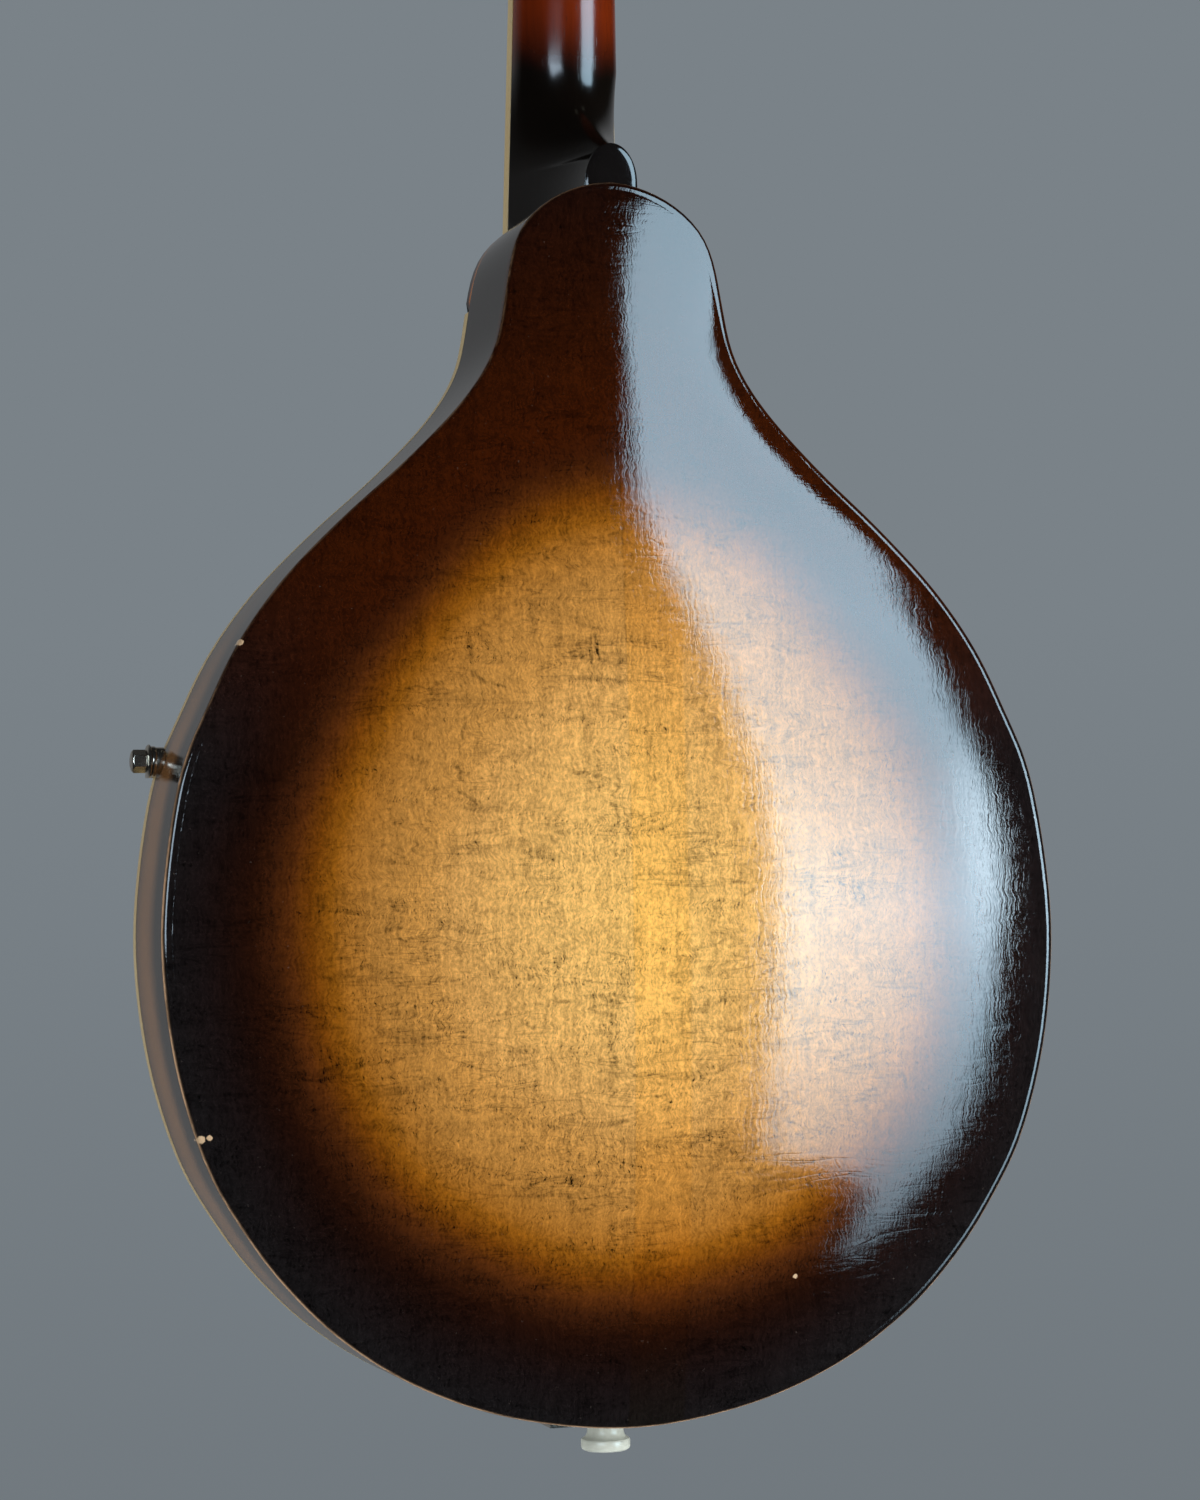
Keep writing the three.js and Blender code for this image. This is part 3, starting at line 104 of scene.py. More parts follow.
def paint(red, green, blue):
    """A colour given in screen values from 0 to 255."""
    linear = [
        v / 12.92 if v <= 0.04045 else ((v + 0.055) / 1.055) ** 2.4
        for v in (red / 255, green / 255, blue / 255)
    ]
    return (*linear, 1.0)


# What a user would change


class MandolaShape(bpy.types.PropertyGroup):
    """Sizes of the mandola's details."""

    outline_steps: IntProperty(
        name="Outline steps", description="Points round the body outline", default=288, min=64, max=512
    )
    edge_rounding: FloatProperty(
        name="Edge rounding", description="Radius of the back's edge, in metres",
        default=0.0013, unit="LENGTH",
    )
    edge_lip: FloatProperty(
        name="Edge lip", description="Height of the low lip inside the back's edge, in metres",
        default=0.00007, unit="LENGTH",
    )
    fret_height: FloatProperty(
        name="Fret height", description="Height of a fret over the board, in metres",
        default=0.00095, unit="LENGTH",
    )
    fret_width: FloatProperty(
        name="Fret width", description="Width of a fret's crown, in metres",
        default=0.0019, unit="LENGTH",
    )
    dot_radius: FloatProperty(
        name="Dot radius", description="Radius of a position dot, in metres",
        default=0.0031, unit="LENGTH",
    )


class MandolaFinish(bpy.types.PropertyGroup):
    """Colours and gloss of the mandola's finishes."""

    honey: FloatVectorProperty(
        name="Honey", description="Colour at the middle of the back",
        subtype="COLOR", size=4, default=paint(206, 155, 85), min=0, max=1,
    )
    amber: FloatVectorProperty(
        name="Amber", description="Colour where the back begins to darken",
        subtype="COLOR", size=4, default=paint(162, 107, 40), min=0, max=1,
    )
    brown: FloatVectorProperty(
        name="Brown", description="Colour of the shaded ring",
        subtype="COLOR", size=4, default=paint(80, 40, 12), min=0, max=1,
    )
    rim_dark: FloatVectorProperty(
        name="Rim dark", description="Nearly black colour at the edge",
        subtype="COLOR", size=4, default=paint(23, 16, 16), min=0, max=1,
    )
    lacquer_roughness: FloatProperty(
        name="Lacquer roughness", description="Roughness of the polished lacquer",
        default=0.05, min=0, max=1,
    )
    grain_depth: FloatProperty(
        name="Grain depth", description="How far the grain shows through the lacquer, in metres",
        default=0.00002, unit="LENGTH",
    )
    binding_colour: FloatVectorProperty(
        name="Binding", description="Colour of the aged binding",
        subtype="COLOR", size=4, default=paint(214, 196, 146), min=0, max=1,
    )
    pearl_colour: FloatVectorProperty(
        name="Buttons", description="Colour of the tuner buttons",
        subtype="COLOR", size=4, default=paint(226, 222, 204), min=0, max=1,
    )


class MandolaStudio(bpy.types.PropertyGroup):
    """Light round the mandola."""

    key_power: FloatProperty(
        name="Key power", description="Power of the large soft lamp, in watts", default=26.0, min=0
    )
    softbox_strength: FloatProperty(
        name="Softbox strength", description="Brightness of the lamp as the lacquer mirrors it",
        default=12.0, min=0,
    )
    fill_strength: FloatProperty(
        name="Fill strength", description="Brightness of the room", default=0.16, min=0
    )
    backdrop: FloatVectorProperty(
        name="Backdrop", description="Colour behind the mandola",
        subtype="COLOR", size=4, default=paint(122, 130, 136), min=0, max=1,
    )


# Lines and surfaces, in millimetres


def smooth_line(points, count, closed=False):
    """Even steps along a smooth curve through some points."""
    points = np.asarray(points, float)
    if closed:
        padded = np.vstack([points[-1:], points, points[:2]])
    else:
        padded = np.vstack([2 * points[0] - points[1], points, 2 * points[-1] - points[-2]])
    step = np.linspace(0, 1, 24, endpoint=False)[:, None]
    spans = [
        0.5 * (
            2 * b + (c - a) * step + (2 * a - 5 * b + 4 * c - d) * step**2
            + (3 * b - a - 3 * c + d) * step**3
        )
        for a, b, c, d in zip(padded, padded[1:], padded[2:], padded[3:])
    ]
    fine = np.vstack([*spans, points[:1] if closed else points[-1:]])
    along = np.concatenate([[0], np.cumsum(np.linalg.norm(np.diff(fine, axis=0), axis=1))])
    at = np.linspace(0, along[-1], count, endpoint=not closed)
    return np.column_stack([np.interp(at, along, fine[:, k]) for k in range(fine.shape[1])])


def body_outline(count):
    """Points round the body in x and z, from the tail up the treble side and down the bass side."""
    half = [(x * BODY_WIDTH / 2, BODY_BOTTOM + z * BODY_LENGTH) for x, z in OUTLINE_SHARES]
    loop = smooth_line(half + [(-x, z) for x, z in half[-2:0:-1]], count, closed=True)
    spread = np.array([1, 4, 6, 4, 1]) / 16
    loop = sum(w * np.roll(loop, k, axis=0) for w, k in zip(spread, range(-2, 3)))
    mirror = np.roll(loop[::-1], 1, axis=0) * [-1, 1]
    return (loop + mirror) / 2


def inset_line(loop, distance):
    """A closed line in x and z moved inwards."""
    along = np.roll(loop, -1, axis=0) - np.roll(loop, 1, axis=0)
    along /= np.linalg.norm(along, axis=1)[:, None]
    inward = np.column_stack([-along[:, 1], along[:, 0]])
    return loop + inward * np.asarray(distance).reshape(-1, 1)


def arch_share(loop, x, z):
    """Share of the full arch at a place: the long swell times the cross swell."""
    half = loop[: len(loop) // 2 + 1]
    reach = np.maximum(np.interp(z, half[:, 1], half[:, 0]), 0.5)
    ends = np.where(z > ARCH_CENTRE[1], BODY_TOP, BODY_BOTTOM)
    length = np.minimum(np.abs((z - ARCH_CENTRE[1]) / (ends - ARCH_CENTRE[1])), 1)
    across = np.minimum(np.abs(x) / reach, 1)
    return (1 - length**2.2) * (1 - across**2.2)


def arch_ring(loop, spots, plane, height, drop=0.0):
    """A ring on an arched face over some spots in x and z."""
    rise = height * arch_share(loop, spots[:, 0], spots[:, 1])
    return np.column_stack([spots[:, 0], plane + rise + drop, spots[:, 1]])


def in_neck(points):
    """Places in the neck's own frame, carried to the mandola's."""
    x, y, z = np.asarray(points, float).T
    sine, cosine = math.sin(NECK_ANGLE), math.cos(NECK_ANGLE)
    return np.column_stack([x, NUT_FACE + y * cosine + z * sine, z * cosine - y * sine])


def in_head(points):
    """Places in the headstock's own frame, carried to the mandola's."""
    x, y, z = np.asarray(points, float).T
    sine, cosine = math.sin(HEAD_ANGLE), math.cos(HEAD_ANGLE)
    return in_neck(np.column_stack([x, 3.5 + y * cosine + z * sine, 5.5 + z * cosine - y * sine]))


def fret_distance(fret):
    return SCALE_LENGTH * (1 - 2 ** (-fret / 12))


def board_half_width(distance):
    return (28.6 + (36.2 - 28.6) * distance / JOIN_DISTANCE) / 2


# Modelling


def clear_selection():
    if bpy.context.object and bpy.context.object.mode != "OBJECT":
        bpy.ops.object.mode_set(mode="OBJECT")
    bpy.ops.object.select_all(action="DESELECT")


def edit(piece, kind="FACE"):
    """Opens a piece for shaping with everything on it selected."""
    clear_selection()
    piece.select_set(True)
    bpy.context.view_layer.objects.active = piece
    bpy.ops.object.mode_set(mode="EDIT")
    bpy.ops.mesh.select_mode(type=kind)
    bpy.ops.mesh.select_all(action="SELECT")


def close_edit(smooth=32):
    """Turns the faces outwards and leaves the shaping."""
    bpy.ops.mesh.select_all(action="SELECT")
    bpy.ops.mesh.remove_doubles(threshold=1e-7)
    bpy.ops.mesh.normals_make_consistent(inside=False)
    bpy.ops.object.mode_set(mode="OBJECT")
    bpy.ops.object.shade_smooth_by_angle(angle=math.radians(smooth))


def loft(name, rings, marks=None, smooth=32):
    """A closed skin: a filled circle extruded once for each further ring of points."""
    rings = np.asarray(rings, float)
    clear_selection()
    bpy.ops.mesh.primitive_circle_add(vertices=rings.shape[1], radius=0.1, fill_type="NGON")
    piece = bpy.context.object
    piece.name = piece.data.name = name
    edit(piece)
    mesh = bmesh.from_edit_mesh(piece.data)
    mesh.verts.layers.int.new("place")
    mesh.verts.layers.int.new("ring")
    place = mesh.verts.layers.int["place"]
    for index, vertex in enumerate(mesh.verts):
        vertex[place] = index
    for level in range(1, len(rings)):
        bpy.ops.mesh.extrude_region_move()
        mesh = bmesh.from_edit_mesh(piece.data)
        ring = mesh.verts.layers.int["ring"]
        for vertex in mesh.verts:
            if vertex.select:
                vertex[ring] = level
    bpy.ops.object.mode_set(mode="OBJECT")
    total = len(piece.data.vertices)
    levels, places = np.zeros(total, np.int32), np.zeros(total, np.int32)
    piece.data.attributes["ring"].data.foreach_get("value", levels)
    piece.data.attributes["place"].data.foreach_get("value", places)
    piece.data.vertices.foreach_set("co", (rings[levels, places] * MM).astype(np.float32).ravel())
    for mark, values in (marks or {}).items():
        attribute = piece.data.attributes.new(mark, "FLOAT", "POINT")
        attribute.data.foreach_set("value", np.asarray(values, np.float32)[levels, places])
    for spare in ("ring", "place"):
        piece.data.attributes.remove(piece.data.attributes[spare])
    edit(piece)
    close_edit(smooth)
    return piece


def slab(name, outline, levels, carry=None, rounding=0.0, smooth=32):
    """A flat outline in x and z between heights in y, with its corners broken."""
    outline = np.asarray(outline, float)
    low, high = levels
    steps = [(0, 0)]
    if rounding:
        steps = [(0, rounding * 1.5), (0, rounding), (rounding * 0.3, rounding * 0.3), (rounding, 0)]
    rings = []
    for over, inward in steps:
        spots = inset_line(outline, inward)
        rings.append(np.insert(spots, 1, low + over, axis=1))
    for over, inward in steps[::-1]:
        spots = inset_line(outline, inward)
        rings.append(np.insert(spots, 1, high - over, axis=1))
    if carry:
        rings = [carry(ring) for ring in rings]
    return loft(name, rings, smooth=smooth)


def sweep(name, path, section, smooth=32, marks=None):
    """A section carried along a path, turned as little as it can be."""
    path = np.asarray(path, float)
    section = np.asarray(section, float)
    if section.ndim == 2:
        section = np.repeat(section[None], len(path), axis=0)
    along = np.gradient(path, axis=0)
    along /= np.linalg.norm(along, axis=1)[:, None]
    across = np.array([1.0, 0.0, 0.0])
    if abs(along[0] @ across) > 0.9:
        across = np.array([0.0, 1.0, 0.0])
    rings = []
    for spot, direction, shape in zip(path, along, section):
        across = across - direction * (direction @ across)
        across /= np.linalg.norm(across)
        over = np.cross(direction, across)
        rings.append(spot + shape[:, :1] * across + shape[:, 1:] * over)
    return loft(name, rings, smooth=smooth, marks=marks)


def circle(radius, sides):
    turn = np.linspace(0, 2 * math.pi, sides, endpoint=False)
    return np.column_stack([radius * np.cos(turn), radius * np.sin(turn)])


def turned(name, profile, carry, steps=40, smooth=32):
    """A profile of (radius, place along) spun once round the y axis, then carried to its place."""
    clear_selection()
    bpy.ops.mesh.primitive_plane_add(size=0.01)
    piece = bpy.context.object
    piece.name = piece.data.name = name
    edit(piece, "VERT")
    bpy.ops.mesh.merge(type="CENTER")
    profile = [(radius * MM, along * MM) for radius, along in profile]
    bpy.ops.transform.translate(value=(profile[0][0], profile[0][1], 0))
    for (radius, along), (next_radius, next_along) in zip(profile, profile[1:]):
        move = (next_radius - radius, next_along - along, 0)
        bpy.ops.mesh.extrude_vertices_move(TRANSFORM_OT_translate={"value": move})
    bpy.ops.mesh.select_all(action="SELECT")
    bpy.ops.mesh.spin(steps=steps, angle=2 * math.pi, center=(0, 0, 0), axis=(0, 1, 0))
    close_edit(smooth)
    place_mesh(piece, carry)
    return piece


def place_mesh(piece, carry):
    """Carries a piece's points to their place."""
    spots = np.zeros(len(piece.data.vertices) * 3, np.float32)
    piece.data.vertices.foreach_get("co", spots)
    moved = carry(spots.reshape(-1, 3).astype(float) / MM) * MM
    piece.data.vertices.foreach_set("co", moved.astype(np.float32).ravel())
    piece.data.update()


def at(x, y, z, turn=None):
    """Moves points to a place, after an optional turn given as the axes that x, y and z go to."""
    axes = np.eye(3) if turn is None else np.array(turn, float)
    return lambda points: np.asarray(points, float) @ axes + [x, y, z]


def chain(*carries):
    def carry(points):
        for step in carries:
            points = step(points)
        return points
    return carry


def cuboid(name, low, high, carry=None, bevel=0.0, segments=3):
    """A block between two corners, with its edges broken."""
    low, high = np.asarray(low, float), np.asarray(high, float)
    clear_selection()
    bpy.ops.mesh.primitive_cube_add(size=1)
    piece = bpy.context.object
    piece.name = piece.data.name = name
    place_mesh(piece, lambda points: (points * MM) * (high - low) + (low + high) / 2)
    if bevel:
        soften(piece, bevel, segments)
    if carry:
        place_mesh(piece, carry)
    return piece


def soften(piece, width, segments=3, angle=40):
    """Breaks the sharp edges of a piece."""
    activate(piece)
    bpy.ops.object.modifier_add(type="BEVEL")
    bevel = piece.modifiers[-1]
    bevel.width, bevel.segments = width * MM, segments
    bevel.limit_method, bevel.angle_limit = "ANGLE", math.radians(angle)
    bevel.harden_normals = False
    bpy.ops.object.modifier_apply(modifier=bevel.name)
    bpy.ops.object.shade_smooth_by_angle(angle=math.radians(45))


def activate(piece):
    clear_selection()
    piece.select_set(True)
    bpy.context.view_layer.objects.active = piece


def combine(piece, tool, operation="DIFFERENCE", smooth=32):
    """Cuts a tool from a piece, or joins the two into one solid."""
    activate(piece)
    bpy.ops.object.modifier_add(type="BOOLEAN")
    modifier = piece.modifiers[-1]
    modifier.operation, modifier.object, modifier.solver = operation, tool, "EXACT"
    bpy.ops.object.modifier_apply(modifier=modifier.name)
    bpy.data.objects.remove(tool)
    bpy.ops.object.shade_smooth_by_angle(angle=math.radians(smooth))
    return piece


def merge(name, pieces):
    """Several loose shapes of one material as a single piece."""
    clear_selection()
    for piece in pieces:
        piece.select_set(True)
    bpy.context.view_layer.objects.active = pieces[0]
    if len(pieces) > 1:
        bpy.ops.object.join()
    pieces[0].name = pieces[0].data.name = name
    return pieces[0]


def copy_of(piece, name, carry):
    """A repeat of a piece with a mesh of its own."""
    twin = piece.copy()
    twin.data = piece.data.copy()
    twin.name = twin.data.name = name
    bpy.context.scene.collection.objects.link(twin)
    place_mesh(twin, carry)
    return twin


def finished(piece, finish, body="body", replaces=()):
    """Gives a piece its finish and the body that it rides on, if that is one body."""
    piece.data.materials.clear()
    piece.data.materials.append(finish)
    if body:
        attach(piece, body)
    if replaces:
        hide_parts(*replaces)
    return piece


def refinish(finish, *nodes):
    """Gives nodes of the frame a finish."""
    for node in nodes:
        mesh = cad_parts[node].data
        mesh.materials.clear()
        mesh.materials.append(finish)


# Finishes


class Tone:
    """One output of a finish's nodes, so that sums on it read as sums."""

    def __init__(self, finish, socket):
        self.finish = finish
        self.socket = socket

    def sum(self, operation, *values):
        return self.finish.node("ShaderNodeMath", {"operation": operation}, dict(enumerate(values)))

    def __add__(self, other):
        return self.sum("ADD", self, other)

    def __sub__(self, other):
        return self.sum("SUBTRACT", self, other)

    def __rsub__(self, other):
        return self.sum("SUBTRACT", other, self)

    def __mul__(self, other):
        return self.sum("MULTIPLY", self, other)

    def __truediv__(self, other):
        return self.sum("DIVIDE", self, other)

    def __abs__(self):
        return self.sum("ABSOLUTE", self)

    __radd__ = __add__
    __rmul__ = __mul__


class Nodes:
    """The emptied node tree of a material or of the world, to which nodes are added."""

    def __init__(self, owner):
        owner.use_nodes = True
        self.tree = owner.node_tree
        self.tree.nodes.clear()

    def node(self, kind, settings, sockets, output=0):
        """Adds a node: its settings first, then the values or links of its sockets."""
        made = self.tree.nodes.new(kind)
        for name, value in settings.items():
            if name == "stops":
                ramp = made.color_ramp.elements
                ramp[0].position, ramp[0].color = value[0]
                ramp[1].position, ramp[1].color = value[-1]
                for place, colour in value[1:-1]:
                    ramp.new(place).color = colour
            else:
                setattr(made, name, value)
        for name, value in sockets.items():
            if isinstance(value, Tone):
                self.tree.links.new(value.socket, made.inputs[name])
            else:
                made.inputs[name].default_value = value
        return Tone(self, made.outputs[output])

    def mix(self, share, first, second, blend="MIX"):
        """Two colours blended by a share."""
        return self.node(
            "ShaderNodeMix", {"data_type": "RGBA", "blend_type": blend}, {0: share, 6: first, 7: second}, 2
        )

    def close(self, shader, kind):
        """Links the last shader to the tree's output."""
        output = self.tree.nodes.new(kind)
        self.tree.links.new(shader.socket, output.inputs["Surface"])


class Finish(Nodes):
    """A material whose nodes read the place on the object in millimetres."""

    def __init__(self, name):
        self.material = bpy.data.materials.new(name)
        super().__init__(self.material)
        place = self.node("ShaderNodeTexCoord", {}, {}, "Object")
        self.where = self.node(
            "ShaderNodeVectorMath", {"operation": "SCALE"}, {0: place, "Scale": 1000.0}
        )

    def part(self, index):
        """x, y or z of the place."""
        return self.node("ShaderNodeSeparateXYZ", {}, {0: self.where}, index)

    def spot(self, x, y, z):
        """A place put together from its parts."""
        return self.node("ShaderNodeCombineXYZ", {}, {0: x, 1: y, 2: z})

    def ridge(self, value, width):
        """One along the line where a noise passes its middle, falling off over a width."""
        return 1 - self.between(abs(value - 0.5), 0.0, width)

    def mark(self, name):
        """A value that the mesh carries."""
        return self.node("ShaderNodeAttribute", {"attribute_name": name}, {}, "Fac")

    def noise(self, stretch, detail=2.0, rough=0.5, twist=0.0, shift=0.0, where=None):
        """Noise whose frequencies along x, y and z are given per millimetre."""
        spot = self.node(
            "ShaderNodeVectorMath", {"operation": "MULTIPLY_ADD"},
            {0: where or self.where, 1: stretch, 2: (shift, shift * 0.7, shift * 1.3)},
        )
        return self.node(
            "ShaderNodeTexNoise", {},
            {"Vector": spot, "Scale": 1.0, "Detail": detail, "Roughness": rough, "Distortion": twist},
        )

    def between(self, value, low, high, first=0.0, last=1.0):
        """A smooth step of a value from one level to another."""
        return self.node(
            "ShaderNodeMapRange", {"interpolation_type": "SMOOTHSTEP"},
            {"Value": value, "From Min": low, "From Max": high, "To Min": first, "To Max": last},
        )

    def ramp(self, value, stops):
        """Colours along a value, given as places and colours."""
        return self.node("ShaderNodeValToRGB", {"stops": stops}, {0: value})

    def grey(self, value):
        """A number as a colour."""
        return self.node("ShaderNodeCombineColor", {}, {0: value, 1: value, 2: value})

    def tinted(self, colour, strength):
        """A colour made lighter or darker by a number near one."""
        return self.mix(1.0, colour, self.grey(strength), "MULTIPLY")

    def bump(self, height, distance, strength=1.0):
        """A relief for the surface, as deep as the distance in metres."""
        return self.node(
            "ShaderNodeBump", {}, {"Strength": strength, "Distance": distance, "Height": height}, "Normal"
        )

    def done(self, sockets, kind="ShaderNodeBsdfPrincipled"):
        """Closes the finish with its surface and gives the material."""
        self.close(self.node(kind, {}, sockets), "ShaderNodeOutputMaterial")
        return self.material

    def glow(self, colour, strength):
        """Closes the finish as a lamp's face."""
        return self.done({"Color": colour, "Strength": strength}, "ShaderNodeEmission")


def burst_finish(look):
    """Figured maple under a sunburst lacquer, dark at the rim and worn along its corner."""
    finish = Finish("sunburst_back")
    x, y, z = finish.part(0), finish.part(1), finish.part(2)
    wander = finish.noise((0.016, 0.02, 0.016), 2.0)
    reach = finish.mark("burst") + (wander - 0.5) * 0.06
    ring = finish.ramp(reach * 0.8, [
        (0.0, paint(232, 184, 102)), (0.16, paint(226, 178, 102)), (0.32, tuple(look.honey)),
        (0.384, paint(190, 137, 68)), (0.456, paint(174, 122, 56)), (0.504, tuple(look.amber)),
        (0.536, paint(137, 83, 18)), (0.568, paint(107, 58, 9)), (0.6, tuple(look.brown)),
        (0.632, paint(52, 24, 8)), (0.664, paint(34, 14, 6)), (0.696, paint(26, 12, 8)),
        (0.744, tuple(look.rim_dark)), (0.8, paint(22, 20, 21)), (1.0, paint(16, 9, 8)),
    ])
    upward = finish.between(z, ARCH_CENTRE[1] + 40, ARCH_CENTRE[1] + 110)
    dark = finish.between(reach, 0.7, 0.86)
    warm = finish.ramp(reach * 0.8, [
        (0.6, paint(60, 22, 2)), (0.8, paint(44, 16, 3)), (1.0, paint(24, 9, 5)),
    ])
    base = finish.mix(upward * dark, ring, warm)
    curl = finish.noise((0.05, 0.02, 0.16), 2.0, 0.5, 0.0, 61.0) * 5 + finish.noise(
        (0.16, 0.02, 0.75), 1.0, 0.5, 0.0, 44.0
    ) * 1.3
    along = finish.spot(x + curl, y, z)
    lines = finish.noise((0.85, 0.05, 0.04), 3.0, 0.62, 0.0, 0.0, along)
    fibre = finish.noise((2.3, 0.2, 0.3), 2.0, 0.6, 0.0, 12.0, along)
    grit = finish.noise((1.3, 0.4, 0.95), 2.0, 0.7, 0.0, 33.0, along)
    mottle = finish.noise((0.22, 0.1, 0.34), 2.0, 0.6, 0.4, 52.0)
    cloud = finish.noise((0.03, 0.02, 0.11), 3.0, 0.55, 0.7)
    low = finish.between(z, ARCH_CENTRE[1] + 40, ARCH_CENTRE[1] - 40)
    gather = finish.between(
        finish.noise((0.028, 0.02, 0.07), 2.0, 0.5, 0.3, 77.0) + low * 0.05, 0.46, 0.62
    )
    soft = finish.noise((0.036, 0.02, 0.19), 2.0, 0.55, 0.7, 31.0)
    streaks = finish.ridge(soft, 0.05) * gather
    second = finish.noise((0.06, 0.02, 0.34), 2.0, 0.55, 1.0, 143.0)
    short = finish.ridge(second, 0.04) * finish.between(
        finish.noise((0.06, 0.02, 0.13), 1.0, 0.5, 0.0, 211.0), 0.5, 0.66
    )
    flecks = finish.between(finish.noise((1.9, 0.5, 0.8), 2.0, 0.7, 0.0, 5.0, along), 0.56, 0.68)
    crowd = finish.between(
        finish.noise((0.03, 0.02, 0.15), 3.0, 0.62, 0.4, 19.0) + low * 0.06, 0.5, 0.64
    )
    specks = flecks * (crowd * 0.92 + 0.08)
    marks = mineral_marks(finish, x, z)
    shade = (
        1.06 + (lines - 0.5) * 1.0 + (fibre - 0.5) * 0.8 + (grit - 0.5) * 1.6 + (mottle - 0.5) * 0.7
        + (cloud - 0.5) * 0.44 - streaks * 0.28 - short * 0.3 - specks * 0.7 - marks * 0.5
    )
    seam = 1 - finish.between(abs(x - 3.3), 0.1, 0.5)
    band = finish.between(x, -15.0, -13.4) * finish.between(x, 3.6, 2.9)
    shade = shade - seam * 0.12 + band * 0.06
    coloured = finish.mix(band * 0.4, base, finish.mix(1.0, base, paint(255, 238, 176), "MULTIPLY"))
    coloured = finish.tinted(coloured, shade)
    corner = finish.mark("edge")
    chips = finish.between(finish.noise((0.12, 0.5, 0.12), 3.0, 0.7, 0.0, 5.0), 0.36, 0.6)
    handled = finish.between(z, ARCH_CENTRE[1] + 90, ARCH_CENTRE[1] + 10)
    worn = corner * (handled * (0.55 + chips * 0.45) + chips * 0.25)
    coloured = finish.mix(worn, coloured, paint(214, 174, 136))
    coloured = finish.mix(edge_chips(finish, x, z), coloured, paint(214, 184, 148))
    dust = finish.between(finish.noise((0.9, 0.5, 0.9), 2.0, 0.6, 0.0, 91.0), 0.72, 0.8)
    coloured = finish.mix(dust * 0.3, coloured, paint(122, 112, 104))
    relief = (
        (lines - 0.5) * 1.0 + (fibre - 0.5) * 0.4 + (grit - 0.5) * 0.35 + (cloud - 0.5) * 0.8 - streaks * 0.2
    )
    rough = look.lacquer_roughness + (finish.noise((0.05, 0.05, 0.05), 3.0) - 0.5) * 0.05 + worn * 0.35
    return finish.done({
        "Base Color": coloured, "Roughness": rough,
        "Normal": finish.bump(relief, look.grain_depth),
    })


# Dark marks in the wood: x, z, half length, half width, turn in degrees
MINERAL_MARKS = (
    (50.6, -318.5, 5.0, 0.9, 84), (48.6, -326.4, 3.4, 0.9, 40), (43.0, -328.6, 3.2, 0.6, 14),
    (53.2, -341.5, 4.4, 0.7, 102), (55.3, -353.5, 3.6, 0.9, 70), (52.6, -361.2, 4.0, 0.8, 34),
    (12.4, -316.5, 4.6, 0.6, 80), (13.6, -324.5, 4.4, 0.7, 74), (15.4, -331.0, 3.0, 0.5, 68),
    (3.6, -334.4, 2.6, 0.8, 84), (19.0, -354.4, 4.2, 0.8, 4), (11.6, -356.0, 3.4, 0.7, 12),
    (-29.0, -386.8, 4.4, 0.7, 6), (-34.6, -389.6, 3.2, 0.6, -20), (-84.7, -447.5, 3.0, 0.7, 70),
)


def mineral_marks(finish, x, z):
    """One inside the dark marks, with wavy edges."""
    total = None
    wave = finish.noise((0.35, 0.1, 0.35), 2.0, 0.6, 0.0, 8.0) - 0.5
    for middle_x, middle_z, length, width, turn in MINERAL_MARKS:
        cosine, sine = math.cos(math.radians(turn)), math.sin(math.radians(turn))
        across = x - middle_x
        up = z - middle_z
        along = (across * cosine + up * sine) / length
        aside = (up * cosine - across * sine + wave * 2.4) / width
        far = along * along + aside * aside
        mark = finish.between(far, 1.5, 0.0)
        total = mark if total is None else total + mark
    return total * (0.8 + wave * 1.6)


# Chips in the lacquer along the back's edge: x, z, radius
EDGE_CHIPS = (
    (129.3, -457.6, 1.3), (126.9, -457.2, 0.9), (116.2, -316.1, 1.1), (-77.8, -527.4, 1.5),
    (-80.6, -525.6, 1.0), (-48.3, -504.6, 0.8),
)


def edge_chips(finish, x, z):
    """One inside the chips, with rough edges."""
    total = None
    wave = finish.noise((0.9, 0.3, 0.9), 2.0, 0.7, 0.0, 3.0) - 0.5
    for middle_x, middle_z, radius in EDGE_CHIPS:
        across, up = x - middle_x, z - middle_z
        chip = finish.between(across * across + up * up + wave * 2, radius**2, radius**2 * 0.5)
        total = chip if total is None else total + chip
    return total


def rim_finish(look):
    """The sides: dark lacquer with a brown band towards the front where the colour was sprayed thinner."""
    finish = Finish("rim_lacquer")
    y, z = finish.part(1), finish.part(2)
    low = finish.between(z, BODY_BOTTOM + 16, BODY_BOTTOM + 62)
    high = finish.between(z, BODY_BOTTOM + 262, BODY_BOTTOM + 205)
    front = finish.between(y, BACK_PLANE - 9, BACK_PLANE - 24) * finish.between(
        y, FRONT_PLANE + 1, FRONT_PLANE + 18, 0.3
    )
    cloud = finish.noise((0.02, 0.05, 0.02), 2.0)
    band = low * high * front * (0.75 + cloud * 0.5)
    base = finish.mix(band, paint(22, 15, 11), paint(128, 90, 54))
    grain = finish.noise((0.06, 1.4, 0.06), 3.0, 0.6, 0.3)
    figure = finish.noise((0.12, 0.03, 0.12), 2.0, 0.5, 0.4, 9.0)
    coloured = finish.tinted(base, 1 + (grain - 0.5) * 0.22 + (figure - 0.5) * 0.2)
    return finish.done({
        "Base Color": coloured,
        "Roughness": look.lacquer_roughness + 0.09 + (cloud - 0.5) * 0.08,
        "Normal": finish.bump((grain - 0.5) + (figure - 0.5), look.grain_depth),
    })


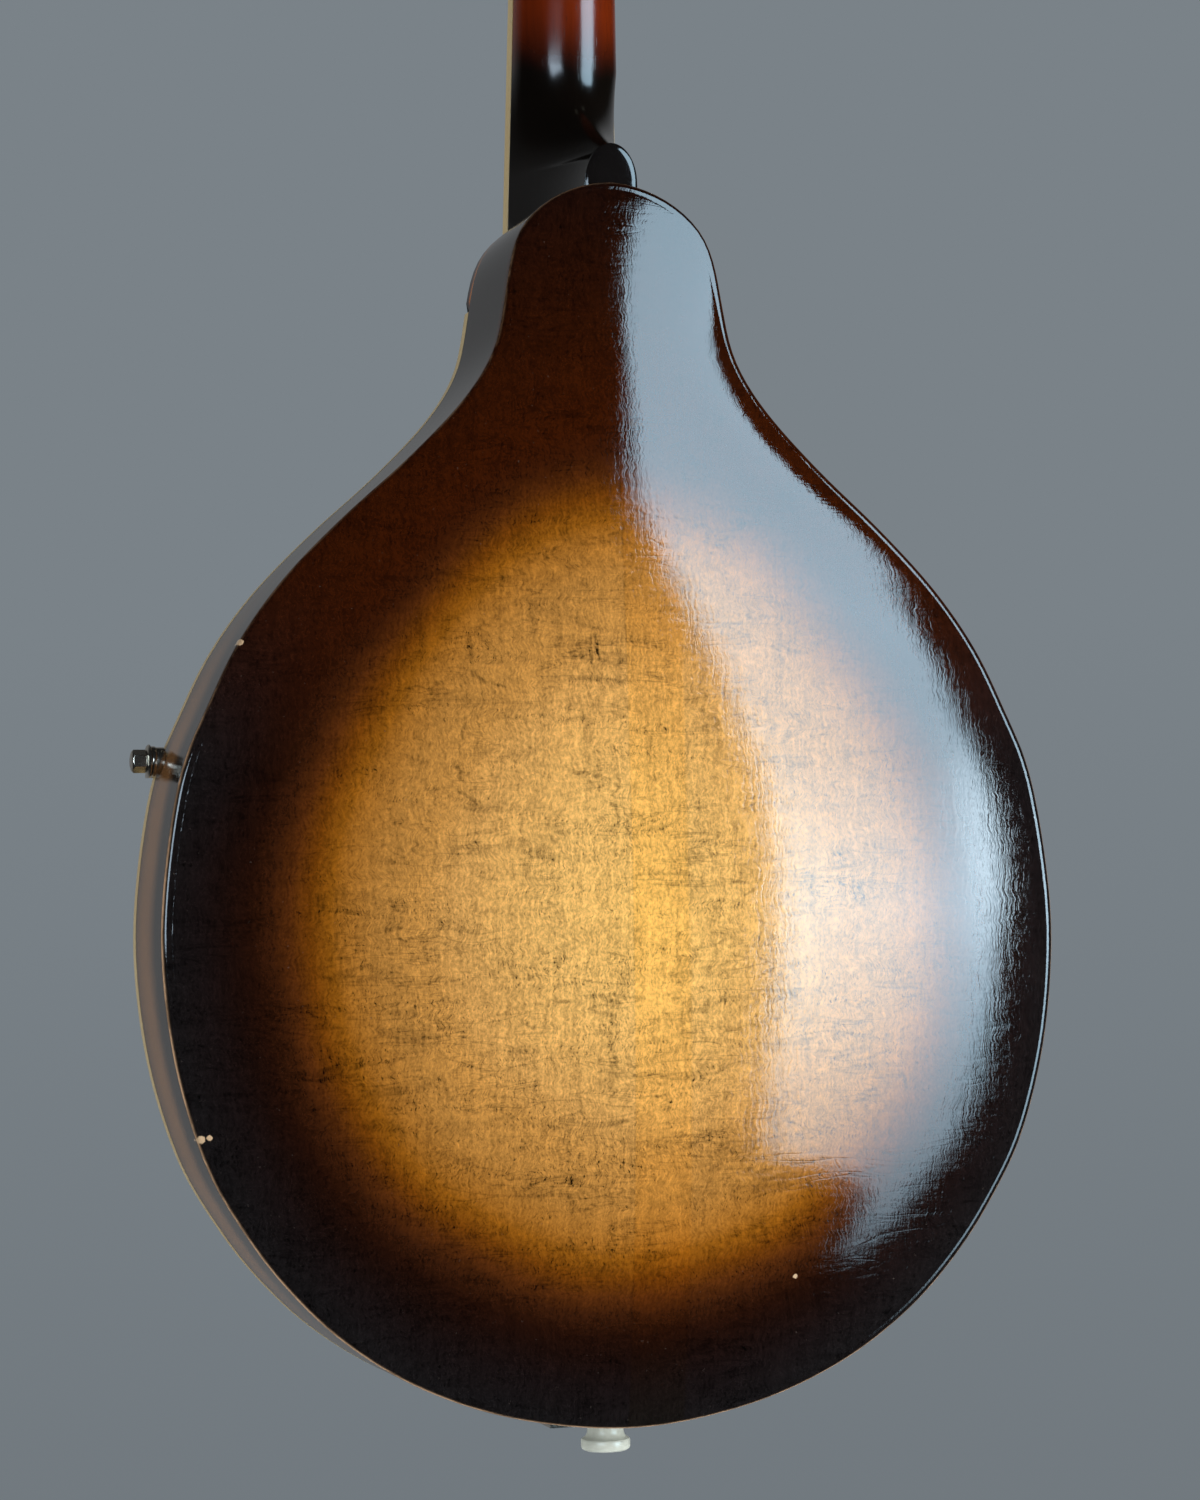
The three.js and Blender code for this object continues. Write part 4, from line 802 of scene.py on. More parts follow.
def top_finish(look):
    """Straight-grained spruce under a sunburst that matches the back."""
    finish = Finish("sunburst_top")
    x = finish.part(0)
    wander = finish.noise((0.02, 0.02, 0.02), 2.0)
    reach = finish.mark("burst") + (wander - 0.5) * 0.05
    base = finish.ramp(reach, [
        (0.0, paint(206, 140, 56)), (0.42, paint(188, 116, 38)), (0.6, paint(140, 70, 18)),
        (0.74, paint(72, 30, 9)), (0.86, paint(28, 13, 8)), (1.0, paint(18, 12, 12)),
    ])
    bend = finish.noise((0.01, 0.01, 0.004), 1.0) * 6
    rings = finish.node(
        "ShaderNodeMath", {"operation": "PINGPONG"}, {0: (x + bend) * 0.9, 1: 1.0}
    )
    late = finish.between(rings, 0.62, 0.98)
    fibre = finish.noise((3.0, 0.6, 0.05), 3.0, 0.6)
    silk = finish.noise((0.05, 0.05, 0.5), 2.0, 0.5, 0.3)
    shade = 1 - late * 0.2 + (fibre - 0.5) * 0.16 + (silk - 0.5) * 0.12
    return finish.done({
        "Base Color": finish.tinted(base, shade),
        "Roughness": look.lacquer_roughness + 0.08 + (wander - 0.5) * 0.06,
        "Normal": finish.bump((late * 0.8 + fibre), look.grain_depth * 1.5),
    })


def neck_finish(look):
    """Neck wood under lacquer, red-brown along the shaft and nearly black at the heel and head."""
    finish = Finish("neck_lacquer")
    z = finish.part(2)
    cloud = finish.noise((0.03, 0.03, 0.015), 3.0)
    dark = finish.between(z + (cloud - 0.5) * 22, BODY_TOP + 64, BODY_TOP + 40)
    head = finish.between(z + (cloud - 0.5) * 16, -34.0, -6.0)
    base = finish.mix(dark, paint(108, 36, 6), paint(12, 8, 5))
    base = finish.mix(head, base, paint(24, 11, 8))
    grain = finish.noise((0.9, 0.9, 0.02), 4.0, 0.65, 0.5)
    pores = finish.between(finish.noise((2.2, 2.2, 0.11), 2.0, 0.6), 0.63, 0.74)
    coloured = finish.tinted(base, 1 + (grain - 0.5) * 0.7 - pores * 0.4)
    return finish.done({
        "Base Color": coloured, "Roughness": 0.16 + (cloud - 0.5) * 0.08,
        "Normal": finish.bump((grain - 0.5) * 0.8 - pores * 0.4, look.grain_depth),
    })


def bare_wood_finish():
    """Unfinished maple and spruce inside the body."""
    finish = Finish("bare_wood")
    grain = finish.noise((0.7, 0.7, 0.04), 4.0, 0.6, 0.4)
    blotch = finish.noise((0.04, 0.04, 0.04), 3.0)
    base = finish.mix(blotch, paint(196, 160, 112), paint(170, 128, 82))
    return finish.done({
        "Base Color": finish.tinted(base, 1 + (grain - 0.5) * 0.4),
        "Roughness": 0.62 + (grain - 0.5) * 0.2,
        "Normal": finish.bump(grain, 0.00008),
    })


def gloss_black_finish(name="black_gloss", roughness=0.07):
    """Black plate with fine rubbed scratches."""
    finish = Finish(name)
    scuff = finish.noise((0.5, 0.5, 0.5), 4.0, 0.7)
    haze = finish.noise((0.06, 0.06, 0.06), 3.0)
    base = finish.mix(haze, paint(12, 11, 12), paint(22, 20, 20))
    return finish.done({
        "Base Color": base, "Roughness": roughness + (haze - 0.5) * 0.08 + (scuff - 0.5) * 0.04,
        "Normal": finish.bump(scuff, 0.000004),
    })


def board_finish():
    """Open-pored dark rosewood, a little polished between the frets."""
    finish = Finish("board_rosewood")
    grain = finish.noise((1.1, 1.1, 0.03), 4.0, 0.65, 0.6)
    pores = finish.between(finish.noise((2.6, 2.6, 0.16), 2.0, 0.6), 0.6, 0.72)
    tone = finish.noise((0.07, 0.07, 0.01), 3.0)
    base = finish.mix(tone, paint(62, 38, 26), paint(34, 20, 15))
    return finish.done({
        "Base Color": finish.tinted(base, 1 + (grain - 0.5) * 0.8 - pores * 0.5),
        "Roughness": 0.42 + pores * 0.25 + (tone - 0.5) * 0.15,
        "Normal": finish.bump(grain - pores, 0.00005),
    })


def ebony_finish():
    """Oiled ebony with faint brown streaks."""
    finish = Finish("bridge_ebony")
    grain = finish.noise((0.05, 1.2, 1.2), 4.0, 0.65, 0.4)
    streak = finish.between(finish.noise((0.02, 0.4, 0.4), 2.0), 0.52, 0.7)
    base = finish.mix(streak, paint(20, 17, 16), paint(44, 32, 26))
    return finish.done({
        "Base Color": finish.tinted(base, 1 + (grain - 0.5) * 0.5),
        "Roughness": 0.36 + (grain - 0.5) * 0.2,
        "Normal": finish.bump(grain, 0.00004),
    })


def binding_finish(look, name="aged_binding"):
    """Cream plastic binding, yellowed and a little dirty."""
    finish = Finish(name)
    age = finish.noise((0.03, 0.03, 0.03), 3.0)
    dirt = finish.between(finish.noise((0.4, 0.4, 0.4), 3.0, 0.7), 0.55, 0.8)
    base = finish.mix(age, tuple(look.binding_colour), paint(196, 168, 112))
    return finish.done({
        "Base Color": finish.mix(dirt * 0.3, base, paint(120, 92, 60)),
        "Roughness": 0.3 + dirt * 0.2,
        "Normal": finish.bump(dirt, 0.00001),
    })


def button_finish(look):
    """Pearly plastic with soft swirls."""
    finish = Finish("button_plastic")
    swirl = finish.noise((0.16, 0.16, 0.16), 3.0, 0.6, 2.4)
    base = finish.mix(swirl, tuple(look.pearl_colour), paint(196, 190, 168))
    return finish.done({
        "Base Color": base, "Roughness": 0.22 + (swirl - 0.5) * 0.1,
        "Normal": finish.bump(swirl, 0.000006),
    })


def pale_plastic_finish():
    """The white end pin, slightly grubby where it is handled, with painted shade where it meets the body."""
    finish = Finish("pin_plastic")
    z = finish.part(2)
    grime = finish.noise((0.25, 0.25, 0.25), 4.0, 0.65)
    # Painted shade: the pin is darkened next to the body, where its flange meets the tail.
    pin_collar_shade = finish.between(z, BODY_BOTTOM - 5, BODY_BOTTOM - 1)
    base = finish.mix(grime, paint(240, 246, 234), paint(218, 226, 212))
    return finish.done({
        "Base Color": finish.mix(pin_collar_shade * 0.2, base, paint(120, 112, 96)),
        "Roughness": 0.3 + (grime - 0.5) * 0.16,
        "Normal": finish.bump(grime, 0.00001),
    })


def bone_finish():
    """Polished bone with fine tubules."""
    finish = Finish("nut_bone")
    fleck = finish.between(finish.noise((0.4, 2.0, 2.0), 3.0, 0.6), 0.55, 0.75)
    tone = finish.noise((0.1, 0.1, 0.1), 2.0)
    base = finish.mix(tone, paint(230, 220, 192), paint(212, 196, 158))
    return finish.done({
        "Base Color": finish.mix(fleck * 0.35, base, paint(168, 148, 110)),
        "Roughness": 0.34 + fleck * 0.1,
        "Normal": finish.bump(fleck, 0.00001),
    })


def metal_finish(name, bright, dull, roughness, brushed=(0.4, 0.4, 0.4)):
    """Plated or plain metal, dulled in patches and brushed along one way."""
    finish = Finish(name)
    tarnish = finish.noise((0.12, 0.12, 0.12), 4.0, 0.65)
    brush = finish.noise(brushed, 3.0, 0.7)
    pits = finish.between(finish.noise((1.1, 1.1, 1.1), 2.0, 0.6), 0.66, 0.78)
    base = finish.mix(finish.between(tarnish, 0.35, 0.75) * 0.45, bright, dull)
    return finish.done({
        "Base Color": finish.mix(pits * 0.35, base, dull), "Metallic": 1.0,
        "Roughness": roughness + finish.between(tarnish, 0.4, 0.8) * 0.1 + (brush - 0.5) * 0.08,
        "Normal": finish.bump(brush - pits * 0.5, 0.000005),
    })


def wound_finish():
    """Bronze wire wound on a core: fine turns that follow the string, with painted shade in the grooves
    between them.
    """
    finish = Finish("wound_string")
    turns = finish.mark("along")
    wave = finish.node("ShaderNodeMath", {"operation": "PINGPONG"}, {0: turns * 4.5, 1: 1.0})
    # Painted shade: the base colour is darkened in the grooves between the turns, besides their relief.
    groove = finish.between(wave, 0.0, 0.35)
    patch = finish.noise((0.06, 0.06, 0.02), 3.0)
    base = finish.mix(patch, paint(190, 138, 92), paint(142, 98, 64))
    return finish.done({
        "Base Color": finish.tinted(base, 0.55 + groove * 0.5), "Metallic": 1.0,
        "Roughness": 0.3 + (patch - 0.5) * 0.2 + (1 - groove) * 0.2,
        "Normal": finish.bump(groove, 0.00006),
    })


def tortoise_finish():
    """Mottled dark plastic sheet with amber clouds."""
    finish = Finish("guard_plastic")
    cloud = finish.noise((0.06, 0.06, 0.045), 4.0, 0.6, 1.4)
    spots = finish.between(cloud, 0.44, 0.74)
    base = finish.mix(spots, paint(26, 9, 5), paint(88, 36, 13))
    scuff = finish.noise((0.5, 0.5, 0.5), 4.0, 0.7)
    return finish.done({
        "Base Color": base, "Roughness": 0.14 + (scuff - 0.5) * 0.08,
        "Normal": finish.bump(scuff, 0.000005),
    })


def nickel_finish():
    """Old nickel plate, brightest where it is rubbed."""
    return metal_finish("aged_nickel", paint(214, 208, 196), paint(150, 138, 120), 0.2)


def steel_finish():
    """Plain steel wire and nuts."""
    return metal_finish("plain_steel", paint(196, 196, 198), paint(140, 138, 134), 0.26, (0.3, 0.3, 0.05))


def fret_finish():
    """Fret wire, polished along its crown by the strings."""
    return metal_finish("fret_wire", paint(206, 202, 194), paint(160, 152, 140), 0.22, (0.1, 1.5, 1.5))


READY = {}


def ready(maker, *values):
    """A finish that several pieces share, made once."""
    if maker not in READY:
        READY[maker] = maker(*values)
    return READY[maker]


# The body


def burst_reach(spots):
    """How far a place is into the shading: one at the widest edge, its lines egg-shaped to the neck."""
    way = spots - ARCH_CENTRE
    far = np.linalg.norm(way, axis=1)
    rise = way[:, 1] / np.maximum(far, 1e-6)
    egg = 1 + 0.265 * np.clip(rise, 0, 1) ** 5.4 + 0.06 * np.clip(-rise, 0, 1) ** 2
    return far / (BODY_WIDTH / 2 * egg)


def back_rings(loop, rounding, lip):
    """Rings of the carved back from its crown over the edge to the inside."""
    rings, bursts, edges = [], [], []

    def add(spots, drop, edge=0.0):
        rings.append(arch_ring(loop, spots, BACK_PLANE, ARCH, drop))
        bursts.append(burst_reach(spots))
        edges.append(np.full(len(loop), edge))

    field = inset_line(loop, 3.3)
    for share in np.linspace(0, 1, 44):
        add(ARCH_CENTRE + (field - ARCH_CENTRE) * share, 0.0)
    for inset, drop in ((2.9, -0.3), (2.5, -0.75), (2.1, -0.5), (1.7, 0.2)):
        add(inset_line(loop, inset), drop * lip)
    for turn in np.radians(np.linspace(0, 90, 9)):
        edge = math.exp(-((math.degrees(turn) - 62) / 16) ** 2)
        spots = inset_line(loop, rounding * (1 - math.sin(turn)))
        add(spots, 0.5 * lip * math.cos(turn) - rounding * (1 - math.cos(turn)), edge)
    rings.append(np.insert(loop, 1, BACK_PLANE - BACK_EDGE, axis=1))
    inner = inset_line(loop, RIB_WALL)
    for share in np.linspace(1, 0, 10):
        spots = ARCH_CENTRE + (inner - ARCH_CENTRE) * share
        rings.append(arch_ring(loop, spots, BACK_PLANE - BACK_EDGE, ARCH - 1))
    for _ in range(11):
        bursts.append(np.ones(len(loop)))
        edges.append(np.zeros(len(loop)))
    return rings, {"burst": bursts, "edge": edges}


class MandolaBack(bpy.types.Operator):
    """Carved back with its sunburst"""

    bl_idname = "mandola.back"
    bl_label = "Back"

    def execute(self, context):
        shape, look = context.scene.mandola_shape, context.scene.mandola_finish
        loop = body_outline(shape.outline_steps)
        rings, marks = back_rings(loop, shape.edge_rounding / MM, shape.edge_lip / MM)
        back = loft("back", rings, marks, smooth=60)
        finished(back, burst_finish(look), replaces=["back_plate"])
        return {"FINISHED"}


def band(name, outer, inner, section, smooth=32):
    """A strip that follows two lines: its section is given as shares between them and heights in y."""
    rings = [
        [(a[0] + (b[0] - a[0]) * share, y, a[1] + (b[1] - a[1]) * share) for share, y in section]
        for a, b in zip(outer, inner)
    ]
    return loft(name, rings, smooth=smooth)


class MandolaSides(bpy.types.Operator):
    """Bent ribs and the binding round the top"""

    bl_idname = "mandola.sides"
    bl_label = "Sides"

    def execute(self, context):
        shape, look = context.scene.mandola_shape, context.scene.mandola_finish
        loop = body_outline(shape.outline_steps)
        inner = inset_line(loop, RIB_WALL)
        half = len(loop) // 2
        low, high = FRONT_PLANE + TOP_EDGE, BACK_PLANE - BACK_EDGE
        outer_side = [(0, y) for y in np.linspace(low, high, 7)]
        section = outer_side + [(1, high), (1, low)]
        bass = np.arange(half, len(loop) + 1) % len(loop)
        for name, steps in (("rib_treble", np.arange(half + 1)), ("rib_bass", bass)):
            rib = band(name + "_side", loop[steps], inner[steps], section)
            finished(rib, ready(rim_finish, look), replaces=[name])
        bound = np.roll(np.arange(len(loop)), half)
        bound = bound[loop[bound, 1] < BINDING_END]
        edge = FRONT_PLANE
        section = [
            (-0.03, high_y) for high_y in (edge + TOP_EDGE, edge + 2.4, edge + 0.5)
        ] + [(0.06, edge + 0.14), (0.26, edge - 0.04), (1, edge - 0.04), (1, edge + TOP_EDGE)]
        inside = inset_line(loop, BINDING_WALL)
        binding = band("binding", loop[bound], inside[bound], section)
        finished(binding, ready(binding_finish, look), replaces=["top_binding"])
        return {"FINISHED"}


HOLE_LINE = (
    (-0.12, 0.4), (-0.11, 0.47), (-0.04, 0.5), (0.015, 0.44), (0.02, 0.25), (0, 0),
    (-0.02, -0.25), (-0.015, -0.44), (0.04, -0.5), (0.12, -0.47), (0.14, -0.4),
)
HOLE_WIDTHS = (0.5, 0.35, 0.4, 0.7, 1, 1.1, 1, 0.7, 0.4, 0.35, 0.5)


def hole_tools(side):
    """Cutters for one sound hole: its stem and the two round ends."""
    length, stem = 92.0, 5.5
    points = [
        (side * (53 + (x - 0.16 * z) * length), BODY_BOTTOM + 152 + z * length, width * stem)
        for (x, z), width in zip(HOLE_LINE, HOLE_WIDTHS)
    ]
    line = smooth_line(points, 72)
    along = np.gradient(line[:, :2], axis=0)
    along /= np.linalg.norm(along, axis=1)[:, None]
    flank = np.column_stack([-along[:, 1], along[:, 0]]) * line[:, 2:] / 2
    outline = np.vstack([line[:, :2] + flank, (line[:, :2] - flank)[::-1]])
    if side < 0:
        outline = outline[::-1]
    through = (FRONT_PLANE - 22, FRONT_PLANE + 8)
    tools = [slab("hole_stem", outline[::-1], through)]
    for spot, radius in ((line[0], 4.2), (line[-1], 5.2)):
        tools.append(slab("hole_end", circle(radius, 40) + spot[:2], through))
    return tools


class MandolaTop(bpy.types.Operator):
    """Carved soundboard with two long sound holes"""

    bl_idname = "mandola.top"
    bl_label = "Top"

    def execute(self, context):
        shape, look = context.scene.mandola_shape, context.scene.mandola_finish
        loop = body_outline(shape.outline_steps)
        ledge = np.where(loop[:, 1] < BINDING_END, BINDING_WALL + 0.04, 0.0)
        edge = inset_line(loop, ledge)
        rings, bursts = [], []
        for share in np.linspace(0, 1, 40):
            spots = ARCH_CENTRE + (edge - ARCH_CENTRE) * share
            rings.append(arch_ring(loop, spots, FRONT_PLANE, -ARCH))
            bursts.append(burst_reach(spots))
        rings.append(np.insert(edge, 1, FRONT_PLANE + TOP_EDGE, axis=1))
        inner = inset_line(loop, RIB_WALL)
        for share in np.linspace(1, 0, 10):
            spots = ARCH_CENTRE + (inner - ARCH_CENTRE) * share
            rings.append(arch_ring(loop, spots, FRONT_PLANE + TOP_EDGE, 1 - ARCH))
        bursts += [np.full(len(loop), 0.4)] * 11
        top = loft("top", rings, {"burst": bursts}, smooth=60)
        for side in (1, -1):
            for tool in hole_tools(side):
                combine(top, tool, smooth=50)
        finished(top, top_finish(look), replaces=["top_plate"])
        return {"FINISHED"}


class MandolaInside(bpy.types.Operator):
    """Blocks, linings and tone bars inside the body, and the rod in the neck"""

    bl_idname = "mandola.inside"
    bl_label = "Inside"

    def execute(self, context):
        refinish(
            bare_wood_finish(), "neck_block", "tail_block", "lining_top_treble", "lining_top_bass",
            "lining_back_treble", "lining_back_bass", "tone_bar_treble", "tone_bar_bass",
        )
        refinish(ready(steel_finish), "truss_rod")
        return {"FINISHED"}


# Neck, board and headstock


def neck_rings():
    """Slices of the neck from the nut to inside the body."""
    seat, rise, sweep_length = BOARD_THICKNESS + 0.25, 12.0, 34.0
    cap_depth = seat + (BACK_PLANE - (FRONT_PLANE - 9.5) - BOARD_THICKNESS) / math.cos(NECK_ANGLE)
    heel = JOIN_DISTANCE - rise
    start = heel - sweep_length
    distances = np.concatenate([
        [-10, -4, 0], np.linspace(8, start, 12)[:-1], np.linspace(start, heel, 26)[:-1],
        heel + rise * (1 - np.cos(np.linspace(0, math.pi / 2, 12))), [JOIN_DISTANCE + rise],
    ])
    rings = []
    for distance in distances:
        nose, into = 0.0, 0.0
        if distance < start:
            depth = 16 + 2 * max(distance, 0) / start - 3.5 * max(-distance, 0) / 10
        elif distance < heel:
            into = (distance - start) / sweep_length
            depth = 18 + (cap_depth - 18) * into**2.6
        else:
            into, depth = 1.0, cap_depth + CAP_THICKNESS
            share = max(JOIN_DISTANCE - distance, 0) / rise
            nose = CAP_HALF_WIDTH * math.sqrt(1 - share**2)
        half = board_half_width(distance) - 0.25
        down = np.sin(np.linspace(0, math.pi / 2, 17))
        spread = np.sqrt(1 - down**2) * (1 - into) + (1 - down) ** 0.9 * into
        flank = np.column_stack([0.4 + (half - 0.4) * spread + nose * down**3, seat + depth * down])
        both = np.vstack([flank, flank[::-1] * [-1, 1]])
        rings.append(in_neck(np.column_stack([both, np.full(len(both), -distance)])))
    return rings


def head_outline(steps=20):
    """Half the headstock flares from the nut, widens and closes in a low crown."""
    share = np.linspace(0, 1, steps)
    flare = np.column_stack([(31 + 27 * (1 - np.cos(math.pi * share)) / 2) / 2, 22 * share])
    turn = np.linspace(0, math.pi / 2, 24)
    crown = np.column_stack([33 * np.cos(turn) ** 0.62, 125 + 7 * np.sin(turn)])
    side = np.column_stack([np.linspace(29, 33, 12), np.linspace(22, 125, 12)])[1:-1]
    half = np.vstack([flare, side, crown])
    return np.vstack([half, (half * [-1, 1])[-2::-1]])


def envelope_tool():
    """The body's outline as a cutter that trims what meets the sides."""
    loop = inset_line(body_outline(192), -0.08)
    return slab("envelope", loop, (FRONT_PLANE + 0.3, BACK_PLANE + 30))


def cut_behind(piece, plane):
    """Takes off what lies behind a plane across y and closes the cut."""
    edit(piece)
    bpy.ops.mesh.bisect(
        plane_co=(0, plane * MM, 0), plane_no=(0, 1, 0), use_fill=True, clear_outer=True
    )
    close_edit(40)


class MandolaNeck(bpy.types.Operator):
    """Neck with its heel, heel cap and headstock"""

    bl_idname = "mandola.neck"
    bl_label = "Neck"

    def execute(self, context):
        look = context.scene.mandola_finish
        neck = loft("neck_wood", neck_rings(), smooth=40)
        cut_behind(neck, BACK_PLANE - CAP_THICKNESS)
        head = slab("head_core", head_outline(), (1.75, 15), in_head, rounding=0.8)
        combine(neck, head, "UNION", 40)
        wedge_start, wedge_end = JOIN_DISTANCE + 6, BOARD_LENGTH - 5
        sections = []
        for distance in (wedge_start, wedge_end):
            half = board_half_width(distance) - 0.4
            corners = [(half, 5.25), (half, 20.6), (-half, 20.6), (-half, 5.25)]
            sections.append(in_neck([(x, y, -distance) for x, y in corners]))
        combine(neck, loft("wedge", sections), "UNION", 40)
        combine(neck, envelope_tool(), smooth=40)
        finished(neck, neck_finish(look), replaces=["neck"])
        turn = np.linspace(0, math.pi, 33)
        arc = np.column_stack([CAP_HALF_WIDTH * np.cos(turn), BODY_TOP + HEEL_RISE * np.sin(turn)])
        blank = np.vstack([[CAP_HALF_WIDTH, BODY_TOP - 6], arc, [-CAP_HALF_WIDTH, BODY_TOP - 6]])
        steps = [(0, CAP_THICKNESS), (0, 0.85), (0.1, 0.6), (0.35, 0.45)]
        steps += [(inset, 0.3 * (1 - inset / 5) ** 2) for inset in (1.0, 2.0, 3.0, 4.0, 5.0)]
        rings = []
        for inset, down in steps:
            spots = inset_line(blank, inset)
            slope = (BODY_TOP + 12 - spots[:, 1]) * (0.0 if down > 2 else math.tan(NECK_ANGLE))
            slope += (spots[:, 0] + CAP_HALF_WIDTH) * 0.06
            rings.append(np.column_stack([spots[:, 0], BACK_PLANE - down - slope, spots[:, 1]]))
        cap = loft("heel_cap_plate", rings, smooth=60)
        combine(cap, envelope_tool())
        finished(cap, ready(gloss_black_finish), replaces=["heel_cap"])
        veneer = slab("head_veneer", head_outline(), (0, 1.72), in_head, rounding=0.25)
        finished(veneer, ready(gloss_black_finish), replaces=["headstock_veneer"])
        bell = smooth_line([(8, 0.4), (8, 8), (7, 13), (4.9, 21), (3.3, 30), (1.6, 33.6), (0, 34.2)], 30)
        bell = np.vstack([bell, (bell * [-1, 1])[-2::-1]])
        cover = slab("rod_cover", bell, (-1.85, -0.05), in_head, rounding=0.5)
        finished(cover, ready(gloss_black_finish), replaces=["truss_rod_cover"])
        for index, (x, z) in enumerate(((-5, 5), (5, 5), (0, 29))):
            screw = small_screw(f"rod_cover_screw_{index + 1}", 1.3, chain(at(x, -1.85, z), in_head))
            finished(screw, ready(nickel_finish))
        return {"FINISHED"}


def small_screw(name, radius, carry):
    """A domed screw head with its slot, facing the front before it is carried to its place."""
    profile = [(0, 0.3), (radius, 0.3), (radius, 0), (radius * 0.86, -0.32 * radius),
               (radius * 0.5, -0.5 * radius), (0, -0.56 * radius)]
    screw = turned(name, profile, at(0, 0, 0), steps=24)
    low, high = (-radius * 1.2, -radius, -radius * 0.14), (radius * 1.2, -radius * 0.24, radius * 0.14)
    slot = cuboid("slot", low, high)
    combine(screw, slot)
    place_mesh(screw, carry)
    return screw


class MandolaFingerboard(bpy.types.Operator):
    """Fingerboard with frets, dots, binding and nut"""

    bl_idname = "mandola.fingerboard"
    bl_label = "Fingerboard"

    def execute(self, context):
        shape, look = context.scene.mandola_shape, context.scene.mandola_finish
        edge = 1.75
        rings = []
        for distance in np.linspace(0, BOARD_LENGTH - edge, 14):
            half = board_half_width(distance) - edge + 0.2
            flank = [(half, 5), (half, 0.12), (half - 0.12, 0)]
            corners = flank + [(-x, y) for x, y in flank[::-1]]
            rings.append(in_neck([(x, y, -distance) for x, y in corners]))
        board = loft("board", rings)
        finished(board, board_finish(), replaces=["fingerboard"])
        outer = [(half, -distance) for half, distance in (
            (board_half_width(0), 0), (board_half_width(BOARD_LENGTH), BOARD_LENGTH))]
        inner = [(half - 1.5, -distance) for half, distance in (
            (board_half_width(BOARD_LENGTH), BOARD_LENGTH - 1.5), (board_half_width(0), 0))]
        loop = outer + [(-x, z) for x, z in outer[::-1]]
        loop += [(-x, z) for x, z in inner[::-1]] + inner
        binding = slab("board_edge", loop, (0, 5))
        soften(binding, 0.2, 2)
        place_mesh(binding, in_neck)
        finished(binding, ready(binding_finish, look), replaces=["fingerboard_binding"])
        self.add_frets(shape)
        self.add_dots(shape, look)
        nut = cuboid("string_nut", (-14.3, -2.2, 0.15), (14.3, 5, 5.1), in_neck, bevel=0.5)
        for index in range(8):
            line = string_route(index, 0.0)[-14:]
            groove = sweep("groove", line, circle(STRING_RADII[index] + 0.12, 10))
            combine(nut, groove)
        finished(nut, bone_finish(), replaces=["nut"])
        return {"FINISHED"}

    def add_frets(self, shape):
        """Crowned frets whose ends are rounded down."""
        width, height = shape.fret_width / MM, shape.fret_height / MM
        turn = np.linspace(0, math.pi, 9)
        crown = np.column_stack([-height * np.sin(turn), width / 2 * np.cos(turn)])
        crown = np.vstack([crown, [0.4, -width / 2], [0.4, width / 2]])
        ends = ((0, 0.3), (0.4, 0.8), (0.9, 1))
        frets = []
        for fret in range(1, FRET_COUNT + 1):
            place = -fret_distance(fret)
            half = board_half_width(-place) - 1.6
            stations = [(inset - half, grow) for inset, grow in ends]
            stations += [(half - inset, grow) for inset, grow in ends[::-1]]
            rings = [
                [(x, y * grow if y < 0 else y, place + z) for y, z in crown] for x, grow in stations
            ]
            frets.append(loft(f"fret_{fret}", [in_neck(ring) for ring in rings], smooth=50))
        frets = merge("frets", frets)
        finished(frets, ready(fret_finish))

    def add_dots(self, shape, look):
        """Position dots let into the board."""
        radius = shape.dot_radius / MM
        dots = []
        for fret, across in ((3, 0), (5, 0), (7, 0), (10, 0), (12, -6.4), (12, 6.4), (15, 0), (17, 0)):
            middle = (fret_distance(fret) + fret_distance(fret - 1)) / 2
            profile = [(0, 0.5), (radius, 0.5), (radius, -0.02), (radius - 0.1, -0.05), (0, -0.05)]
            dots.append(turned("dot", profile, chain(at(across, 0, -middle), in_neck), steps=28))
        dots = merge("position_dots", dots)
        finished(dots, ready(button_finish, look))


# Strings

STRING_RADII = (0.6, 0.6, 0.42, 0.42, 0.27, 0.27, 0.19, 0.19)
TAIL_SLOPE = math.atan2(13.5, 80)
STRING_TOP = in_neck([(0, -4.6, -SCALE_LENGTH)])[0, 1]
SADDLE_LINE = BRIDGE_PLACE - 0.5
# Distance between the pairs and within a pair
NUT_SPACING, BRIDGE_SPACING, HOOK_SPACING = (7, 2.5), (13.4, 3.6), (8.3, 3.6)


def string_offset(index, course, pair):
    """Place of a string across the neck, from the bass side."""
    return (index // 2 - 1.5) * course + (0.5 if index % 2 else -0.5) * pair


def tail_face(height):
    """Front face of the tailpiece above the top's plane, at a height above the tail."""
    return 1 + 1.2 / math.cos(TAIL_SLOPE) + height * math.tan(TAIL_SLOPE)


def post_places():
    """Side, x, z and name of each tuning post, nearest the nut first."""
    return [
        (side, side * POST_ASIDE, FIRST_POST + POST_PITCH * index, f"{label}_{index + 1}")
        for side, label in ((-1, "bass"), (1, "treble")) for index in range(4)
    ]


